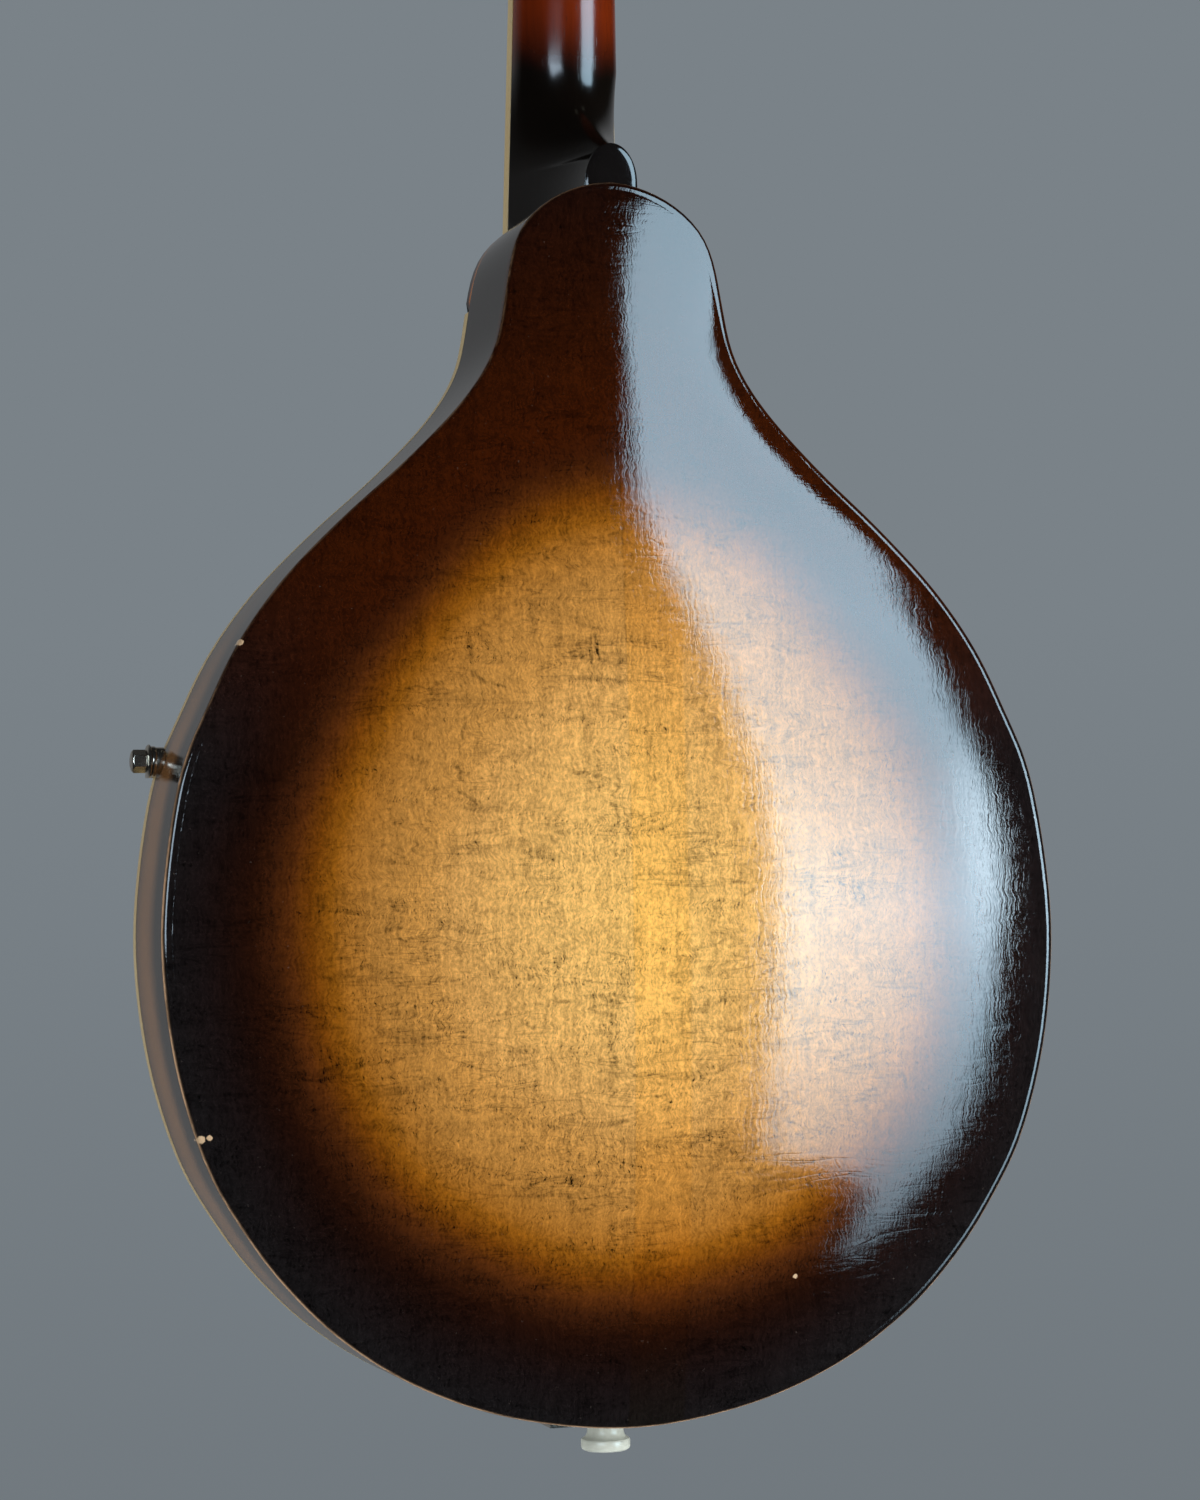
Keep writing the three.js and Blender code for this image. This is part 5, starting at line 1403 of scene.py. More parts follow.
def string_route(index, turns):
    """A string from its loop on the hook, over saddle and nut, round its post."""
    radius = STRING_RADII[index]
    nut_x = string_offset(index, *NUT_SPACING)
    bridge_x = string_offset(index, *BRIDGE_SPACING)
    hook_x = string_offset(index, *HOOK_SPACING)
    hook_y = FRONT_PLANE - tail_face(68) - 1.8
    hook_z = BODY_BOTTOM + 69
    bend = 1.25 + radius
    loop = [
        (hook_x + bend * math.cos(a), hook_y, hook_z + bend * math.sin(a))
        for a in np.radians(np.linspace(110, 440, 17))
    ]
    start = np.array([hook_x, hook_y, hook_z + bend + 3])
    saddle = np.array([bridge_x, STRING_TOP, BRIDGE_PLACE - 2])
    route = loop + [tuple(start + (saddle - start) * share) for share in (0, 0.15, 0.5, 1)]
    route += [(bridge_x, STRING_TOP, SADDLE_LINE), (bridge_x, STRING_TOP, BRIDGE_PLACE + 1)]
    above = -(1.2 + radius)
    nut = in_neck([
        (nut_x, above, -120), (nut_x, above, -0.2), (nut_x, above + 0.1, 2.5), (nut_x, above + 0.45, 5.3),
    ])
    nut[0] = np.array([bridge_x, STRING_TOP, BRIDGE_PLACE]) * 0.3 + nut[1] * 0.7
    route += [tuple(spot) for spot in nut]
    side, x, z, _ = post_places()[index if index < 4 else 11 - index]
    coil = 3.1 + radius + 0.1
    first = math.pi if side > 0 else 0.0
    steps = max(2, int(turns * 20))
    coils = []
    for share in (step / steps for step in range(steps + 1)):
        angle = first + side * 2 * math.pi * turns * share
        down = (2 * radius + 0.1) * share * turns
        coils.append((x + coil * math.cos(angle), down - 8, z + coil * math.sin(angle)))
    route += [tuple(spot) for spot in in_head(coils if turns else coils[:1])]
    return np.array(route)


class MandolaStrings(bpy.types.Operator):
    """Eight strings in four pairs, the lower four wound"""

    bl_idname = "mandola.strings"
    bl_label = "Strings"

    def execute(self, context):
        for index, radius in enumerate(STRING_RADII):
            route = string_route(index, 2.6)
            spots = dense(route)
            along = np.concatenate([[0], np.cumsum(np.linalg.norm(np.diff(spots, axis=0), axis=1))])
            swell = np.ones(len(along))
            if radius < 0.4:
                swell[(along > 11) & (along < 24)] = 1.45
            section = circle(radius, 10)[None] * swell[:, None, None]
            marks = np.repeat(along[:, None], 10, axis=1)
            rest = int(np.argmin(np.abs(spots[:, 2] - SADDLE_LINE)))
            wound = radius > 0.3
            finish = ready(wound_finish) if wound else ready(steel_finish)
            # Both lengths meet in the saddle's groove
            for name, part, far in (
                ("strung", slice(rest, None), (0, 0, -0.2)),
                ("after_length", slice(0, rest + 1), spots[0] + [0, 0, 8]),
            ):
                string = sweep(f"{name}_{index + 1}", spots[part], section[part], 60, {"along": marks[part]})
                finished(string, finish, None, [f"string_{index + 1}"])
                tuple(v * MM for v in far)
                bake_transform(string)
        return {"FINISHED"}


def dense(route):
    """A route with its long straight runs cut into shorter ones."""
    spots = [route[0]]
    for start, end in zip(route, route[1:]):
        count = max(1, int(np.linalg.norm(end - start) / 30))
        spots += [start + (end - start) * k / count for k in range(1, count + 1)]
    return np.array(spots)


# Bridge and tailpiece


class MandolaBridge(bpy.types.Operator):
    """Ebony bridge with its adjustable saddle"""

    bl_idname = "mandola.bridge"
    bl_label = "Bridge"

    def execute(self, context):
        loop = body_outline(192)
        crown = FRONT_PLANE - ARCH
        base_top = crown - 6.2
        tip = FRONT_PLANE - ARCH * arch_share(loop, np.array([56.0]), np.array([BRIDGE_PLACE]))[0] - 3
        rings = []
        tips = np.linspace(42.4, 56, 12)
        for x in np.concatenate([-tips[::-1], np.linspace(-40, 40, 17), tips]):
            share = min(max((abs(x) - 42.4) / 13.6, 0), 1)
            top = base_top + (tip - base_top) * (1 - math.cos(math.pi * share)) / 2
            end = max(abs(x) - 54, 0)
            depth = 5 - end**2 * 0.16
            ring = [(depth, 1), (depth, 0.16), (depth - 0.5, 0.04), (depth - 1.2, 0),
                    (1.2 - depth, 0), (0.5 - depth, 0.04), (-depth, 0.16), (-depth, 1)]
            spots = []
            for z, share_down in ring:
                foot = FRONT_PLANE - ARCH * arch_share(
                    loop, np.array([x]), np.array([BRIDGE_PLACE + z]))[0] - 0.05
                spots.append((x, top + (foot - top) * share_down, BRIDGE_PLACE + z))
            rings.append(spots)
        base = loft("bridge_foot", rings, smooth=40)
        finished(base, ready(ebony_finish), replaces=["bridge_base"])
        wheel_back = base_top - 1.3
        wheel_front = wheel_back - 2.2
        saddle_back = wheel_front - 0.25
        self.add_saddle(saddle_back)
        for label, side in (("bass", -1), ("treble", 1)):
            place = at(side * STUD_ASIDE, 0, BRIDGE_PLACE)
            low, high = saddle_back - 3.4, base_top + 5
            thread = [(1.75 if k % 2 else 2.0, low + 0.3 + (high - low - 0.3) * k / 44) for k in range(45)]
            stud = turned(f"stud_{label}", [(0, low), (1.7, low)] + thread + [(0, high)], place, 24)
            finished(stud, ready(nickel_finish), replaces=[f"bridge_stud_{label}"])
            profile = [(2.3, 0), (5.5, 0), (6, 0.4), (6, 1.8), (5.5, 2.2), (2.3, 2.2), (2.3, 0)]
            wheel = turned(f"wheel_{label}", profile, at(0, 0, 0), 96)
            edit(wheel)
            mesh = bmesh.from_edit_mesh(wheel.data)
            for vertex in mesh.verts:
                if math.hypot(vertex.co.x, vertex.co.z) > 5.8 * MM:
                    tooth = round(math.atan2(vertex.co.z, vertex.co.x) / (2 * math.pi / 96))
                    vertex.co *= 1.0 if tooth % 2 else 0.965
            close_edit(30)
            place_mesh(wheel, at(side * STUD_ASIDE, wheel_front, BRIDGE_PLACE))
            finished(
                wheel, ready(nickel_finish), f"thumbwheel_{label}", [f"thumbwheel_{label}"]
            )
        return {"FINISHED"}

    def add_saddle(self, back):
        """The saddle, lower towards its tips, with a slot for each string."""
        front = STRING_TOP - 0.6
        rings = []
        for x in np.concatenate([[-47, -46.6, -46], np.linspace(-44, 44, 45), [46, 46.6, 47]]):
            share = min(max((abs(x) - 24) / 23, 0), 1)
            top = front + (back - 3.4 - front) * (share**1.2)
            end = max(abs(x) - 46, 0)
            low, high = 3 - end * 0.5, 2 - end * 0.4
            rings.append([
                (x, y, BRIDGE_PLACE + z) for y, z in (
                    (back, low), (back - 2.2, low), (top + 0.5, high + 0.05), (top + 0.12, high - 0.4),
                    (top, high - 1), (top, 1 - high), (top + 0.12, 0.4 - high), (top + 0.5, -high - 0.05),
                    (back - 2.2, -low), (back, -low),
                )
            ])
        saddle = loft("saddle_top", rings, smooth=40)
        for index in range(8):
            x = string_offset(index, *BRIDGE_SPACING)
            line = [(x, STRING_TOP, BRIDGE_PLACE + z) for z in (-5, 0, 5)]
            combine(saddle, sweep("groove", line, circle(STRING_RADII[index] + 0.1, 10)), smooth=40)
        finished(saddle, ready(ebony_finish), "saddle", ["bridge_saddle"])


class MandolaTailpiece(bpy.types.Operator):
    """Bent nickel tailpiece with its hooks and sliding cover"""

    bl_idname = "mandola.tailpiece"
    bl_label = "Tailpiece"

    def execute(self, context):
        leg_z, low_y = BODY_BOTTOM - 0.85, FRONT_PLANE - 1.6
        turn = np.radians(np.linspace(0, 90 - math.degrees(TAIL_SLOPE), 9))
        bend = 2.4
        corner = [(0, low_y + bend - bend * math.sin(a), leg_z + bend - bend * math.cos(a)) for a in turn]
        end = (0, low_y - 80 * math.tan(TAIL_SLOPE), BODY_BOTTOM + 80)
        path = [(0, FRONT_PLANE + 26, leg_z), (0, FRONT_PLANE + 10, leg_z)] + corner + [
            (0, low_y - 30 * math.tan(TAIL_SLOPE), BODY_BOTTOM + 30), end,
        ]
        section = [
            (-21, -0.4), (-20.8, -0.6), (20.8, -0.6), (21, -0.4),
            (21, 0.4), (20.8, 0.6), (-20.8, 0.6), (-21, 0.4),
        ]
        sheet = sweep("tail_sheet", path, section, 40)
        hooks = []
        for index in range(8):
            x = string_offset(index, *HOOK_SPACING)
            face = FRONT_PLANE - tail_face(68)
            rise = [(0, 0.6, 69.2), (0, -1.4, 69.2), (0, -2.6, 69.0), (0, -3.3, 68.2), (0, -3.5, 67.2)]
            line = [(x, face + y, BODY_BOTTOM + z) for _, y, z in rise]
            hook = sweep(f"hook_{index}", line, [(-0.9, -0.5), (0.9, -0.5), (0.9, 0.5), (-0.9, 0.5)], 40)
            soften(hook, 0.15, 2)
            hooks.append(hook)
        base = merge("tail_base", [sheet, *hooks])
        finished(base, ready(nickel_finish), replaces=["tailpiece_base"])
        self.add_cover()
        return {"FINISHED"}

    def add_cover(self):
        """The arched cover that slides over the tailpiece."""
        half = 21 + 0.4 + 1.2
        turn = np.linspace(0, math.pi, 41)
        rises = smooth_line([(0, 0), (0.24, 0.6), (0.67, 1), (1, 1)], 26)
        sine, cosine = math.sin(TAIL_SLOPE), math.cos(TAIL_SLOPE)
        rings = []
        for along, rise in rises:
            height = 4.6 + min(rise, 1) * 4.4
            place = along * 84
            ring = []
            for margin, way in ((0, 1), (1.0, -1)):
                x = (half - margin) * np.sign(np.cos(turn)) * np.abs(np.cos(turn)) ** 0.5
                y = -(height - margin) * np.sin(turn) ** 0.5
                ring += list(zip(x[::way], y[::way]))
            rings.append([
                (x, FRONT_PLANE - 1.6 + y * cosine - place * sine, BODY_BOTTOM + y * sine + place * cosine)
                for x, y in ring
            ])
        cover = loft("tail_cover_sheet", rings, smooth=50)
        finished(cover, ready(nickel_finish), "tail_cover", ["tailpiece_cover"])


# Fittings


class MandolaFittings(bpy.types.Operator):
    """End pin, pickguard, its bracket and bolt"""

    bl_idname = "mandola.fittings"
    bl_label = "Fittings"

    def execute(self, context):
        pin_place = at(0, FRONT_PLANE + 15, BODY_BOTTOM, Y_TO_TAIL)
        profile = [
            (0, -20), (3.6, -20), (3.6, 1.7), (5.9, 1.7), (5.7, 2.6), (5.5, 3.8), (5.55, 5.2), (5.9, 6.2),
            (6.7, 6.9), (7.25, 7.2), (7.5, 7.7), (7.5, 9.5), (7.2, 10.2), (6.6, 10.6), (5.8, 10.7), (0, 10.7),
        ]
        pin = turned("strap_pin", profile, pin_place, 48)
        finished(pin, pale_plastic_finish(), replaces=["end_pin"])
        self.add_bolt()
        shares = [
            (0, 0.545), (0.13, 0.56), (0.3, 0.605), (0.52, 0.655), (0.8, 0.7), (0.97, 0.745), (1, 0.79),
            (0.92, 0.85), (0.68, 0.905), (0.353, 0.945), (0.118, 0.95), (0.06, 0.86), (0.022, 0.72),
        ]
        inner = board_half_width(BOARD_LENGTH) + 0.4
        outline = smooth_line([(inner + x * 54.4, -z * SCALE_LENGTH) for x, z in shares], 120, closed=True)
        guard = slab("guard", outline[::-1], (1, 2.8), in_neck, rounding=0.7)
        finished(guard, tortoise_finish(), replaces=["pickguard"])
        self.add_bracket(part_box("bracket_bolt")[1].x / MM - 7.25)
        return {"FINISHED"}

    def add_bracket(self, leg):
        """The bent arm that holds the pickguard: a round-ended foot under the bolt, then a strip."""
        turn = np.linspace(0, math.pi, 25)
        parts = []
        for radius, low, levels in ((4.5, -1.4, (leg - 0.6, leg + 0.6)), (4.2, 0.3, (leg - 3.3, leg - 0.5))):
            outline = np.column_stack([radius * np.cos(turn), BOLT_DEPTH + radius * np.sin(turn)])
            outline = np.vstack([[radius, low], outline, [-radius, low]])
            place = at(0, FRONT_PLANE, BRACKET_PLACE, Y_TO_X)
            parts.append(slab("foot", outline, levels, place, rounding=0.2))
        foot = in_neck([(0, 2.8, BRACKET_PLACE)])[0, 1] + 1.1
        corners = [(leg, FRONT_PLANE + 2), (leg, FRONT_PLANE - 0.4), (leg - 1, FRONT_PLANE - 1.6),
                   (65, foot + 0.3), (64, foot), (50, foot)]
        section = [(-0.6, -4.4), (0.6, -4.4), (0.6, 4.4), (-0.6, 4.4)]
        parts.append(sweep("arm", [(x, y, BRACKET_PLACE) for x, y in corners], section, 40))
        bracket = merge("guard_bracket", parts)
        finished(bracket, ready(nickel_finish), replaces=["pickguard_bracket"])

    def add_bolt(self):
        """The hexagon bolt on the treble side, with its washer."""
        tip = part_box("bracket_bolt")[1].x / MM
        place = at(0, FRONT_PLANE + BOLT_DEPTH, BRACKET_PLACE, Y_TO_X)
        washer_profile = [
            (0, tip - 17), (1.9, tip - 17), (1.9, tip - 6.4), (4.7, tip - 6.4), (5.0, tip - 6.2),
            (5.0, tip - 5.9), (4.6, tip - 5.5), (3.6, tip - 5.2), (3.4, tip - 4.9), (0, tip - 4.9),
        ]
        washer = turned("bolt_washer", washer_profile, place, 48)
        corners = circle(3.5, 6)
        blank = slab("bolt_head", corners, (tip - 4.95, tip), rounding=0.0)
        dome_profile = [
            (0, tip - 6), (3.7, tip - 6), (3.7, tip - 1.7), (2.9, tip - 0.95), (2.1, tip - 0.7),
            (0, tip - 0.7),
        ]
        dome = turned("dome", dome_profile, at(0, 0, 0), 48)
        combine(blank, dome, "INTERSECT")
        soften(blank, 0.18, 2, 25)
        place_mesh(blank, place)
        for part in (washer, blank):
            finished(part, ready(nickel_finish))
        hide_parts("bracket_bolt")
        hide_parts("bracket_bolt")


# Tuning machines

AXLE = 15 + 0.25 + 1.2 + 3.6
WORM_RISE = 7.95
WORM_LEAD = 2 * math.pi * 5.2 / 12
EAR_PLACE = WORM_LEAD + 0.4 + 0.7


class MandolaTuners(bpy.types.Operator):
    """Two strips of four tuning machines"""

    bl_idname = "mandola.tuners"
    bl_label = "Tuners"

    def execute(self, context):
        look = context.scene.mandola_finish
        nickel, plastic = ready(nickel_finish), ready(button_finish, look)
        post = self.make_post()
        shaft, button = self.make_key()
        ferrule = turned("ferrule", [
            (3.25, 0.6), (3.25, -1.2), (3.7, -1.5), (4.4, -1.4), (4.8, -0.9), (5.6, -0.35), (5.8, 0.05),
            (5.8, 0.3), (3.25, 0.6)], at(0, 0, 0), 40)
        ear = cuboid("ear", (-0.7, 16.3, -3), (0.7, 23.2, 3), bevel=0.5)
        bore = [(0, -3), (1.7, -3), (1.7, 3), (0, 3)]
        combine(ear, turned("bore", bore, at(0, AXLE, 0, Y_TO_X), 24))
        screw = small_screw("plate_screw", 1.9, at(0, 0, 0, Y_TO_BACK))
        for side, label in ((-1, "bass"), (1, "treble")):
            self.add_plate(side, label, ear, screw, nickel)
        for side, x, z, name in post_places():
            finished(copy_of(post, f"string_post_{name}", chain(at(x, 0, z), in_head)), nickel,
                     f"post_{name}", [f"post_{name}"])
            finished(copy_of(ferrule, f"ferrule_{name}", chain(at(x, 0, z), in_head)), nickel)
            facing = np.diag([side, side, 1])
            place = chain(at(x, AXLE, z + WORM_RISE, facing), in_head)
            finished(copy_of(shaft, f"worm_{name}", place), nickel, f"key_{name}")
            finished(copy_of(button, f"button_{name}", place), plastic, f"key_{name}", [f"key_{name}"])
        for model in (post, shaft, button, ferrule, ear, screw):
            bpy.data.objects.remove(model)
        return {"FINISHED"}

    def add_plate(self, side, label, ear, screw, nickel):
        x = side * POST_ASIDE
        low, high = FIRST_POST - 9, FIRST_POST + 3 * POST_PITCH + WORM_RISE + 9
        corner = [(7.5, 1.2), (7.3, 0.5), (6.9, 0.1), (6.2, 0)]
        loop = [(x + a, low + b) for a, b in corner[::-1]] + [(x + a, high - b) for a, b in corner]
        loop += [(x - a, high - b) for a, b in corner[::-1]] + [(x - a, low + b) for a, b in corner]
        sheet = slab("sheet", loop, (15.15, 16.45), in_head, rounding=0.25)
        ears = [
            copy_of(ear, "ear", chain(at(x + way * EAR_PLACE, 0, post[2] + WORM_RISE), in_head))
            for post in post_places() if post[0] == side for way in (-1, 1)
        ]
        plate = merge(f"machine_plate_{label}", [sheet, *ears])
        finished(plate, nickel, replaces=[f"tuner_plate_{label}"])
        for index in range(5):
            z = low + 3.2 if index == 0 else min(FIRST_POST + POST_PITCH * index - 7.6, high - 3.2)
            spot = chain(at(x, 16.45, z), in_head)
            finished(copy_of(screw, f"plate_screw_{label}_{index + 1}", spot), nickel)

    def make_post(self):
        """A string post with its gear wheel, lying on the y axis."""
        profile = [
            (0, -14), (2.5, -14), (2.95, -13.7), (3.1, -13.2), (3.1, -9.6), (2.9, -9.2), (2.9, -4.2),
            (3.1, -3.8), (3.1, 16.9), (3.9, 16.9), (3.9, 21.6), (3.6, 21.75), (0, 21.75),
        ]
        post = turned("post_model", profile, at(0, 0, 0), 36)
        bore = [(0, -5), (0.8, -5), (0.8, 5), (0, 5)]
        combine(post, turned("bore", bore, at(0, -11.4, 0, Y_TO_X), 16))
        pitch = 2 * math.pi / 12
        teeth = []
        for tooth in range(12):
            for spot, radius in ((0.0, 4.4), (0.22, 4.5), (0.36, 5.4), (0.5, 5.5), (0.64, 5.4), (0.78, 4.5)):
                angle = math.pi / 2 + (tooth + spot) * pitch
                teeth.append((radius * math.cos(angle), radius * math.sin(angle)))
        gear = slab("gear", teeth, (AXLE - 1.3, AXLE + 1.3))
        hub = small_screw("gear_screw", 2.4, at(0, 21.7, 0, Y_TO_BACK))
        return merge("post_model", [post, gear, hub])

    def make_key(self):
        """A worm on its shaft, and the button, both lying on the x axis."""
        turn = np.linspace(0, 2 * math.pi, 28, endpoint=False)

        def ring(along, radius, thread=False):
            crest = -math.pi / 2 - 2 * math.pi * along / WORM_LEAD
            away = (turn - crest + math.pi) % (2 * math.pi) - math.pi
            grow = np.exp(-((away / 0.9) ** 4)) if thread else 0 * away
            reach = radius + grow
            return np.column_stack([np.full(len(turn), along), reach * np.cos(turn), reach * np.sin(turn)])

        half, inner = WORM_LEAD, -EAR_PLACE - 1.1
        rings = [ring(inner, 1.1), ring(inner + 0.2, 1.5), ring(-half, 1.5)]
        rings += [ring(along, 1.95, True) for along in np.linspace(-half, half, 61)]
        rings += [ring(along, radius) for along, radius in (
            (half, 1.5), (5.2, 1.5), (5.3, 2.6), (6.3, 2.6), (6.5, 1.5), (16.5, 1.5),
            (16.6, 2.4), (17.6, 2.4), (17.8, 1.4), (19, 1.2),
        )]
        shaft = loft("shaft_model", rings, smooth=45)
        shares = smooth_line([(0.0, 0.24), (0.02, 0.4), (0.14, 0.78), (0.34, 0.98), (0.6, 1.0), (0.84, 0.82),
                              (0.96, 0.5), (1.0, 0.16)], 26)
        turn = np.linspace(0, 2 * math.pi, 40, endpoint=False)
        around = [np.sign(v) * np.abs(v) ** 0.8 for v in (np.cos(turn), np.sin(turn))]
        rings = [
            np.column_stack([
                np.full(40, 17.2 + along * 12.8), around[0] * spread * 4, around[1] * spread * 7,
            ])
            for along, spread in shares
        ]
        button = loft("button_model", rings, smooth=60)
        return shaft, button


# Stage

CAMERA = (
    (-0.94753526, 0.000819024, 0.31965023, 0.3025788),
    (0.31904222, 0.06412473, 0.94556865, 0.9045201),
    (-0.01972304, 0.997941555, -0.06102175, -0.4033087),
    (0, 0, 0, 1),
)
# The large soft lamp's outline across and up its own plane, in millimetres
SOFTBOX = (
    (-330, 800), (-384, 571), (-405, 451), (-370, 362), (-304, 262), (-241, 165), (-195, 60),
    (-170, -35), (-165, -118), (-179, -276), (-193, -429), (-180, -577), (-52, -608), (76, -663),
    (65, -750), (40, -833), (182, -706), (291, -554), (373, -365), (401, -190), (431, -41),
    (421, 90), (408, 242), (428, 466), (560, 700), (560, 900), (0, 1000),
)


def aimed(name, kind, place, target, **settings):
    """A lamp at a place, turned to a target."""
    clear_selection()
    bpy.ops.object.light_add(type=kind)
    lamp = bpy.context.object
    lamp.name = name
    away = np.asarray(place, float) - np.asarray(target, float)
    back = away / np.linalg.norm(away)
    right = np.cross([0, 0, 1], back)
    right /= np.linalg.norm(right)
    matrix = np.eye(4)
    matrix[:3, 0], matrix[:3, 1], matrix[:3, 2], matrix[:3, 3] = right, np.cross(back, right), back, place
    lamp.matrix_world = Matrix(matrix.tolist())
    for setting, value in settings.items():
        setattr(lamp.data, setting, value)
    return lamp


class MandolaStage(bpy.types.Operator):
    """Camera, lamps, pale floor and backdrop"""

    bl_idname = "mandola.stage"
    bl_label = "Stage"

    def execute(self, context):
        studio = context.scene.mandola_studio
        clear_selection()
        bpy.ops.object.camera_add()
        camera = context.object
        camera.name = "photo_camera"
        camera.matrix_world = Matrix(CAMERA)
        camera.data.lens, camera.data.sensor_width = 74.4, 36
        camera.data.clip_start, camera.data.clip_end = 0.01, 50
        context.scene.camera = camera
        context.scene.view_settings.view_transform = "Standard"
        self.add_softbox(studio)
        self.add_strip(studio)
        self.add_world(studio)
        middle = (0, 0.03, -0.39)
        key = aimed("key_lamp", "AREA", (-0.914, 1.336, -0.2), middle, energy=studio.key_power,
                    shape="RECTANGLE", size=0.75, size_y=1.4)
        key.visible_glossy = False
        front = aimed("front_lamp", "AREA", (-0.9, -1.6, 0.4), middle, energy=studio.key_power * 2.2,
                      shape="RECTANGLE", size=1.0, size_y=1.3)
        side = aimed("side_lamp", "AREA", (1.9, 0.1, -0.5), middle, energy=12.0,
                     shape="RECTANGLE", size=0.5, size_y=1.4)
        front.visible_glossy = side.visible_glossy = False
        self.add_floor()
        return {"FINISHED"}

    def add_softbox(self, studio):
        """The large lamp's shape as the lacquer mirrors it: brightest low down and at its far edge."""
        finish = Finish("softbox_glow")
        level = finish.ramp((finish.part(2) + 1100.0) / 1900.0, [
            (place, (level * 0.7, level, level * 1.22, 1)) for place, level in (
                (0.0, 0.29), (0.054, 0.33), (0.204, 0.56), (0.302, 0.8), (0.387, 1.02), (0.437, 0.86),
                (0.492, 0.74), (0.56, 0.76), (0.64, 0.8), (0.774, 0.72), (1.0, 0.68),
            )
        ])
        aside = (finish.part(0) * -0.819 + finish.part(1) * -0.574 - 373.0) / 62.0
        tall = (finish.part(2) + 300.0) / 170.0
        far = aside * aside + tall * tall
        bright = finish.node("ShaderNodeMath", {"operation": "EXPONENT"}, {0: far * -1.0})
        level = finish.mix(bright, level, (1.2, 1.55, 1.8, 1))
        finish.glow(level, studio.softbox_strength)
        self.add_panel("softbox", (-0.5714, 0.8160, 0.0872), smooth_line(SOFTBOX, 160, closed=True), finish)

    def add_strip(self, studio):
        """The low lamp on the other side, mirrored along the back's edge."""
        finish = Finish("strip_glow")
        finish.glow((0.8, 1.0, 1.2, 1), studio.softbox_strength * 0.7)
        outline = [(-400, -240), (400, -240), (400, 260), (-400, 260)]
        self.add_panel("strip_lamp", (0.643, 0.766, 0.13), np.array(outline), finish)

    def add_panel(self, name, facing, outline, finish):
        """A glowing plane that only mirrors see, across a direction from the mandola's middle."""
        normal = np.array(facing) / np.linalg.norm(facing)
        across = np.cross([0, 0, 1], normal)
        across /= np.linalg.norm(across)
        up = np.cross(normal, across)
        spots = np.array([0, 30, -390]) + 1600 * normal + outline[:, :1] * across + outline[:, 1:] * up
        clear_selection()
        bpy.ops.mesh.primitive_circle_add(vertices=len(spots), fill_type="NGON")
        panel = bpy.context.object
        panel.name = name
        panel.data.vertices.foreach_set("co", (spots * MM).astype(np.float32).ravel())
        panel.data.materials.append(finish.material)
        panel.visible_camera = panel.visible_diffuse = panel.visible_shadow = False

    def add_world(self, studio):
        """Backdrop grey for the camera, with painted shade towards the bottom; for the lacquer, a dark room
        in front of the back.
        """
        world = bpy.context.scene.world or bpy.data.worlds.new("room")
        bpy.context.scene.world = world
        sky = Nodes(world)
        way = sky.node("ShaderNodeTexCoord", {}, {}, "Generated")
        y, z = (sky.node("ShaderNodeSeparateXYZ", {}, {0: way}, index) for index in (1, 2))
        front = sky.node("ShaderNodeMapRange", {}, {
            "Value": y, "From Min": -0.5, "From Max": -0.86, "To Min": 0.012, "To Max": 0.2,
        })
        # Painted shade: the backdrop that the camera sees is darker below the horizon.
        rise = sky.node("ShaderNodeMapRange", {}, {"Value": z, "From Min": -0.2, "From Max": 0.1})
        low = (*(value * 0.84 for value in studio.backdrop[:3]), 1)
        backdrop = sky.mix(rise, low, tuple(studio.backdrop))
        room, mirror, seen = (
            sky.node("ShaderNodeBackground", {}, {"Color": colour, "Strength": strength})
            for colour, strength in (
                ((1, 1, 1, 1), studio.fill_strength), ((0.94, 0.97, 1.0, 1), front), (backdrop, 1.0)
            )
        )
        glossy, camera = (
            sky.node("ShaderNodeLightPath", {}, {}, ray) for ray in ("Is Glossy Ray", "Is Camera Ray")
        )
        first = sky.node("ShaderNodeMixShader", {}, {0: glossy, 1: room, 2: mirror})
        second = sky.node("ShaderNodeMixShader", {}, {0: camera, 1: first, 2: seen})
        sky.close(second, "ShaderNodeOutputWorld")

    def add_floor(self):
        """A round pale floor well below the mandola."""
        clear_selection()
        bpy.ops.mesh.primitive_circle_add(vertices=96, radius=0.9, location=(0, 0, -0.75), fill_type="NGON")
        floor = bpy.context.object
        floor.name = "floor"
        finish = Finish("pale_floor")
        speck = finish.noise((0.02, 0.02, 0.02), 3.0)
        paper = finish.mix(speck, (0.62, 0.63, 0.64, 1), (0.68, 0.69, 0.7, 1))
        floor.data.materials.append(finish.done({"Base Color": paper, "Roughness": 0.85}))
        floor.visible_glossy = False


# Panel and start

OPERATORS = (
    MandolaStage, MandolaBack, MandolaSides, MandolaTop, MandolaInside, MandolaNeck,
    MandolaFingerboard, MandolaStrings, MandolaBridge, MandolaTailpiece, MandolaFittings, MandolaTuners,
)


class MANDOLA_PT_pieces(bpy.types.Panel):
    """Lists the mandola's pieces and their settings"""

    bl_idname = "MANDOLA_PT_pieces"
    bl_label = "Mandola"
    bl_space_type = "VIEW_3D"
    bl_region_type = "UI"
    bl_category = "Mandola"

    def draw(self, context):
        scene = context.scene
        for group in (scene.mandola_shape, scene.mandola_finish, scene.mandola_studio):
            box = self.layout.box()
            for name in group.__annotations__:
                box.prop(group, name)
        for operator in OPERATORS:
            self.layout.operator(operator.bl_idname)


GROUPS = {
    "mandola_shape": MandolaShape, "mandola_finish": MandolaFinish, "mandola_studio": MandolaStudio,
}


def register():
    for kind in (*GROUPS.values(), *OPERATORS, MANDOLA_PT_pieces):
        bpy.utils.register_class(kind)
    for name, group in GROUPS.items():
        setattr(bpy.types.Scene, name, PointerProperty(type=group))


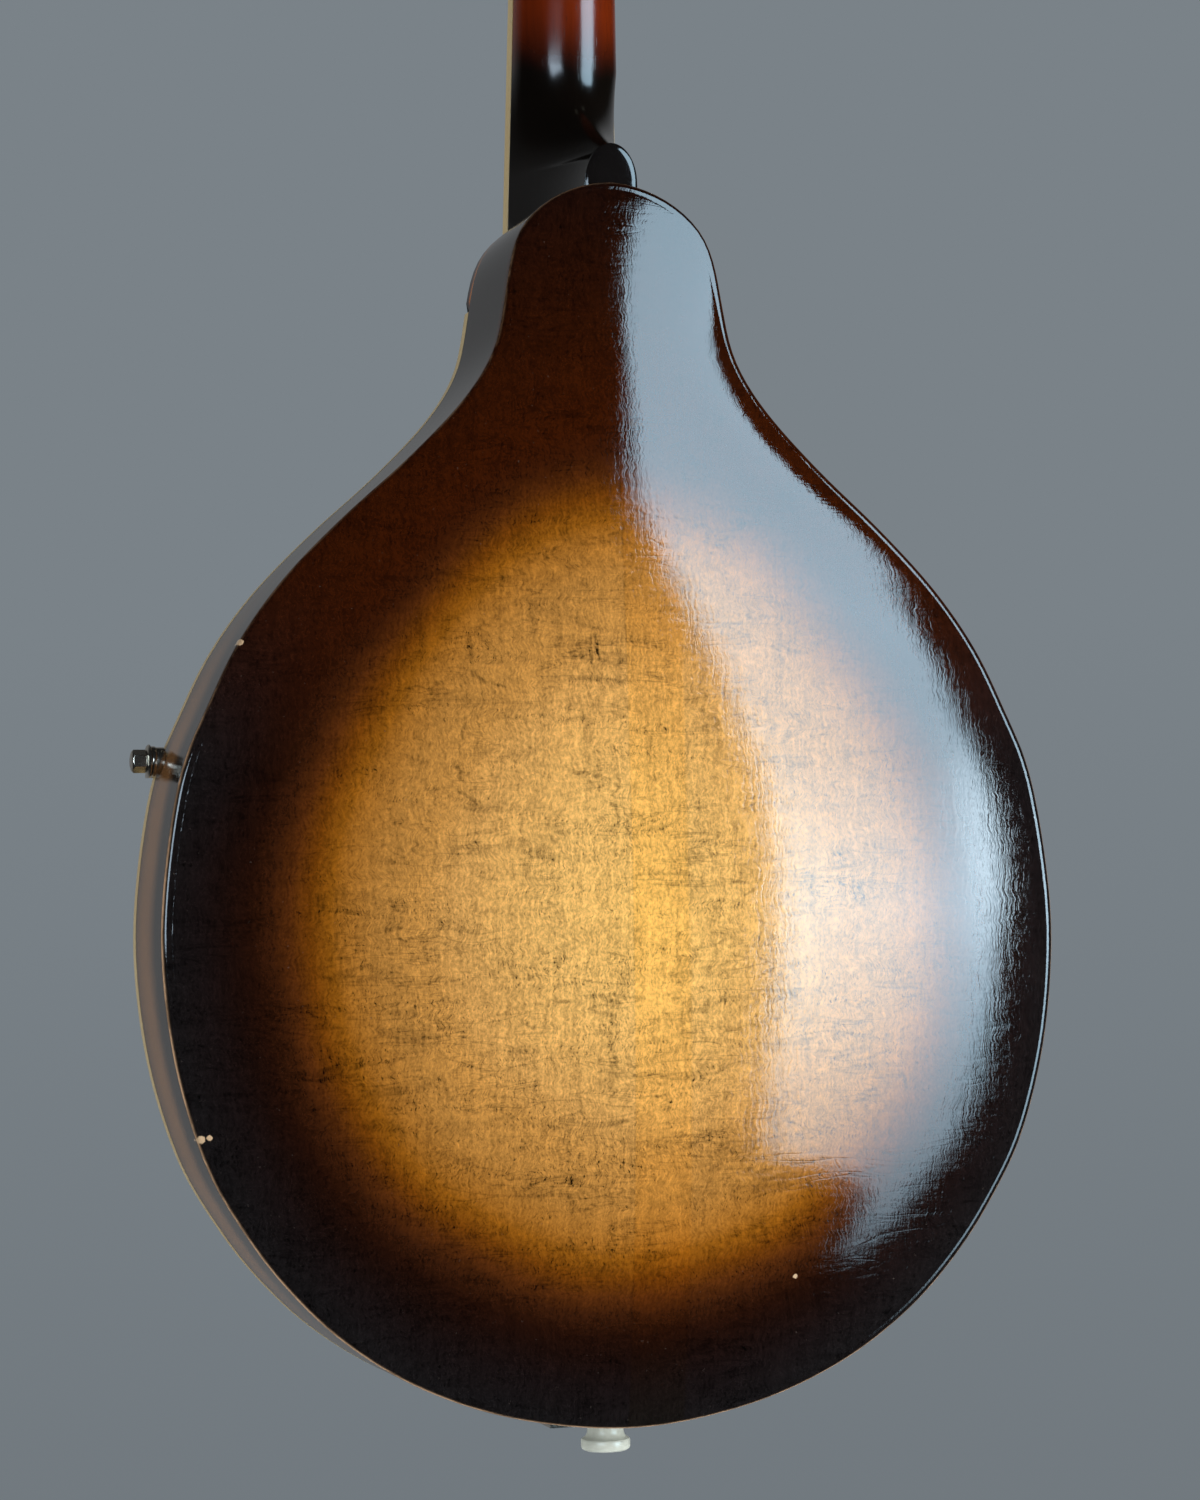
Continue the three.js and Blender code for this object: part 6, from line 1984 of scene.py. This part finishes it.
def unregister():
    for name in GROUPS:
        delattr(bpy.types.Scene, name)
    for kind in (MANDOLA_PT_pieces, *OPERATORS[::-1], *GROUPS.values()):
        bpy.utils.unregister_class(kind)


def main():
    register()
    for operator in OPERATORS:
        group, name = operator.bl_idname.split(".")
        getattr(getattr(bpy.ops, group), name)()
    clear_selection()


if __name__ == "__main__":
    main()
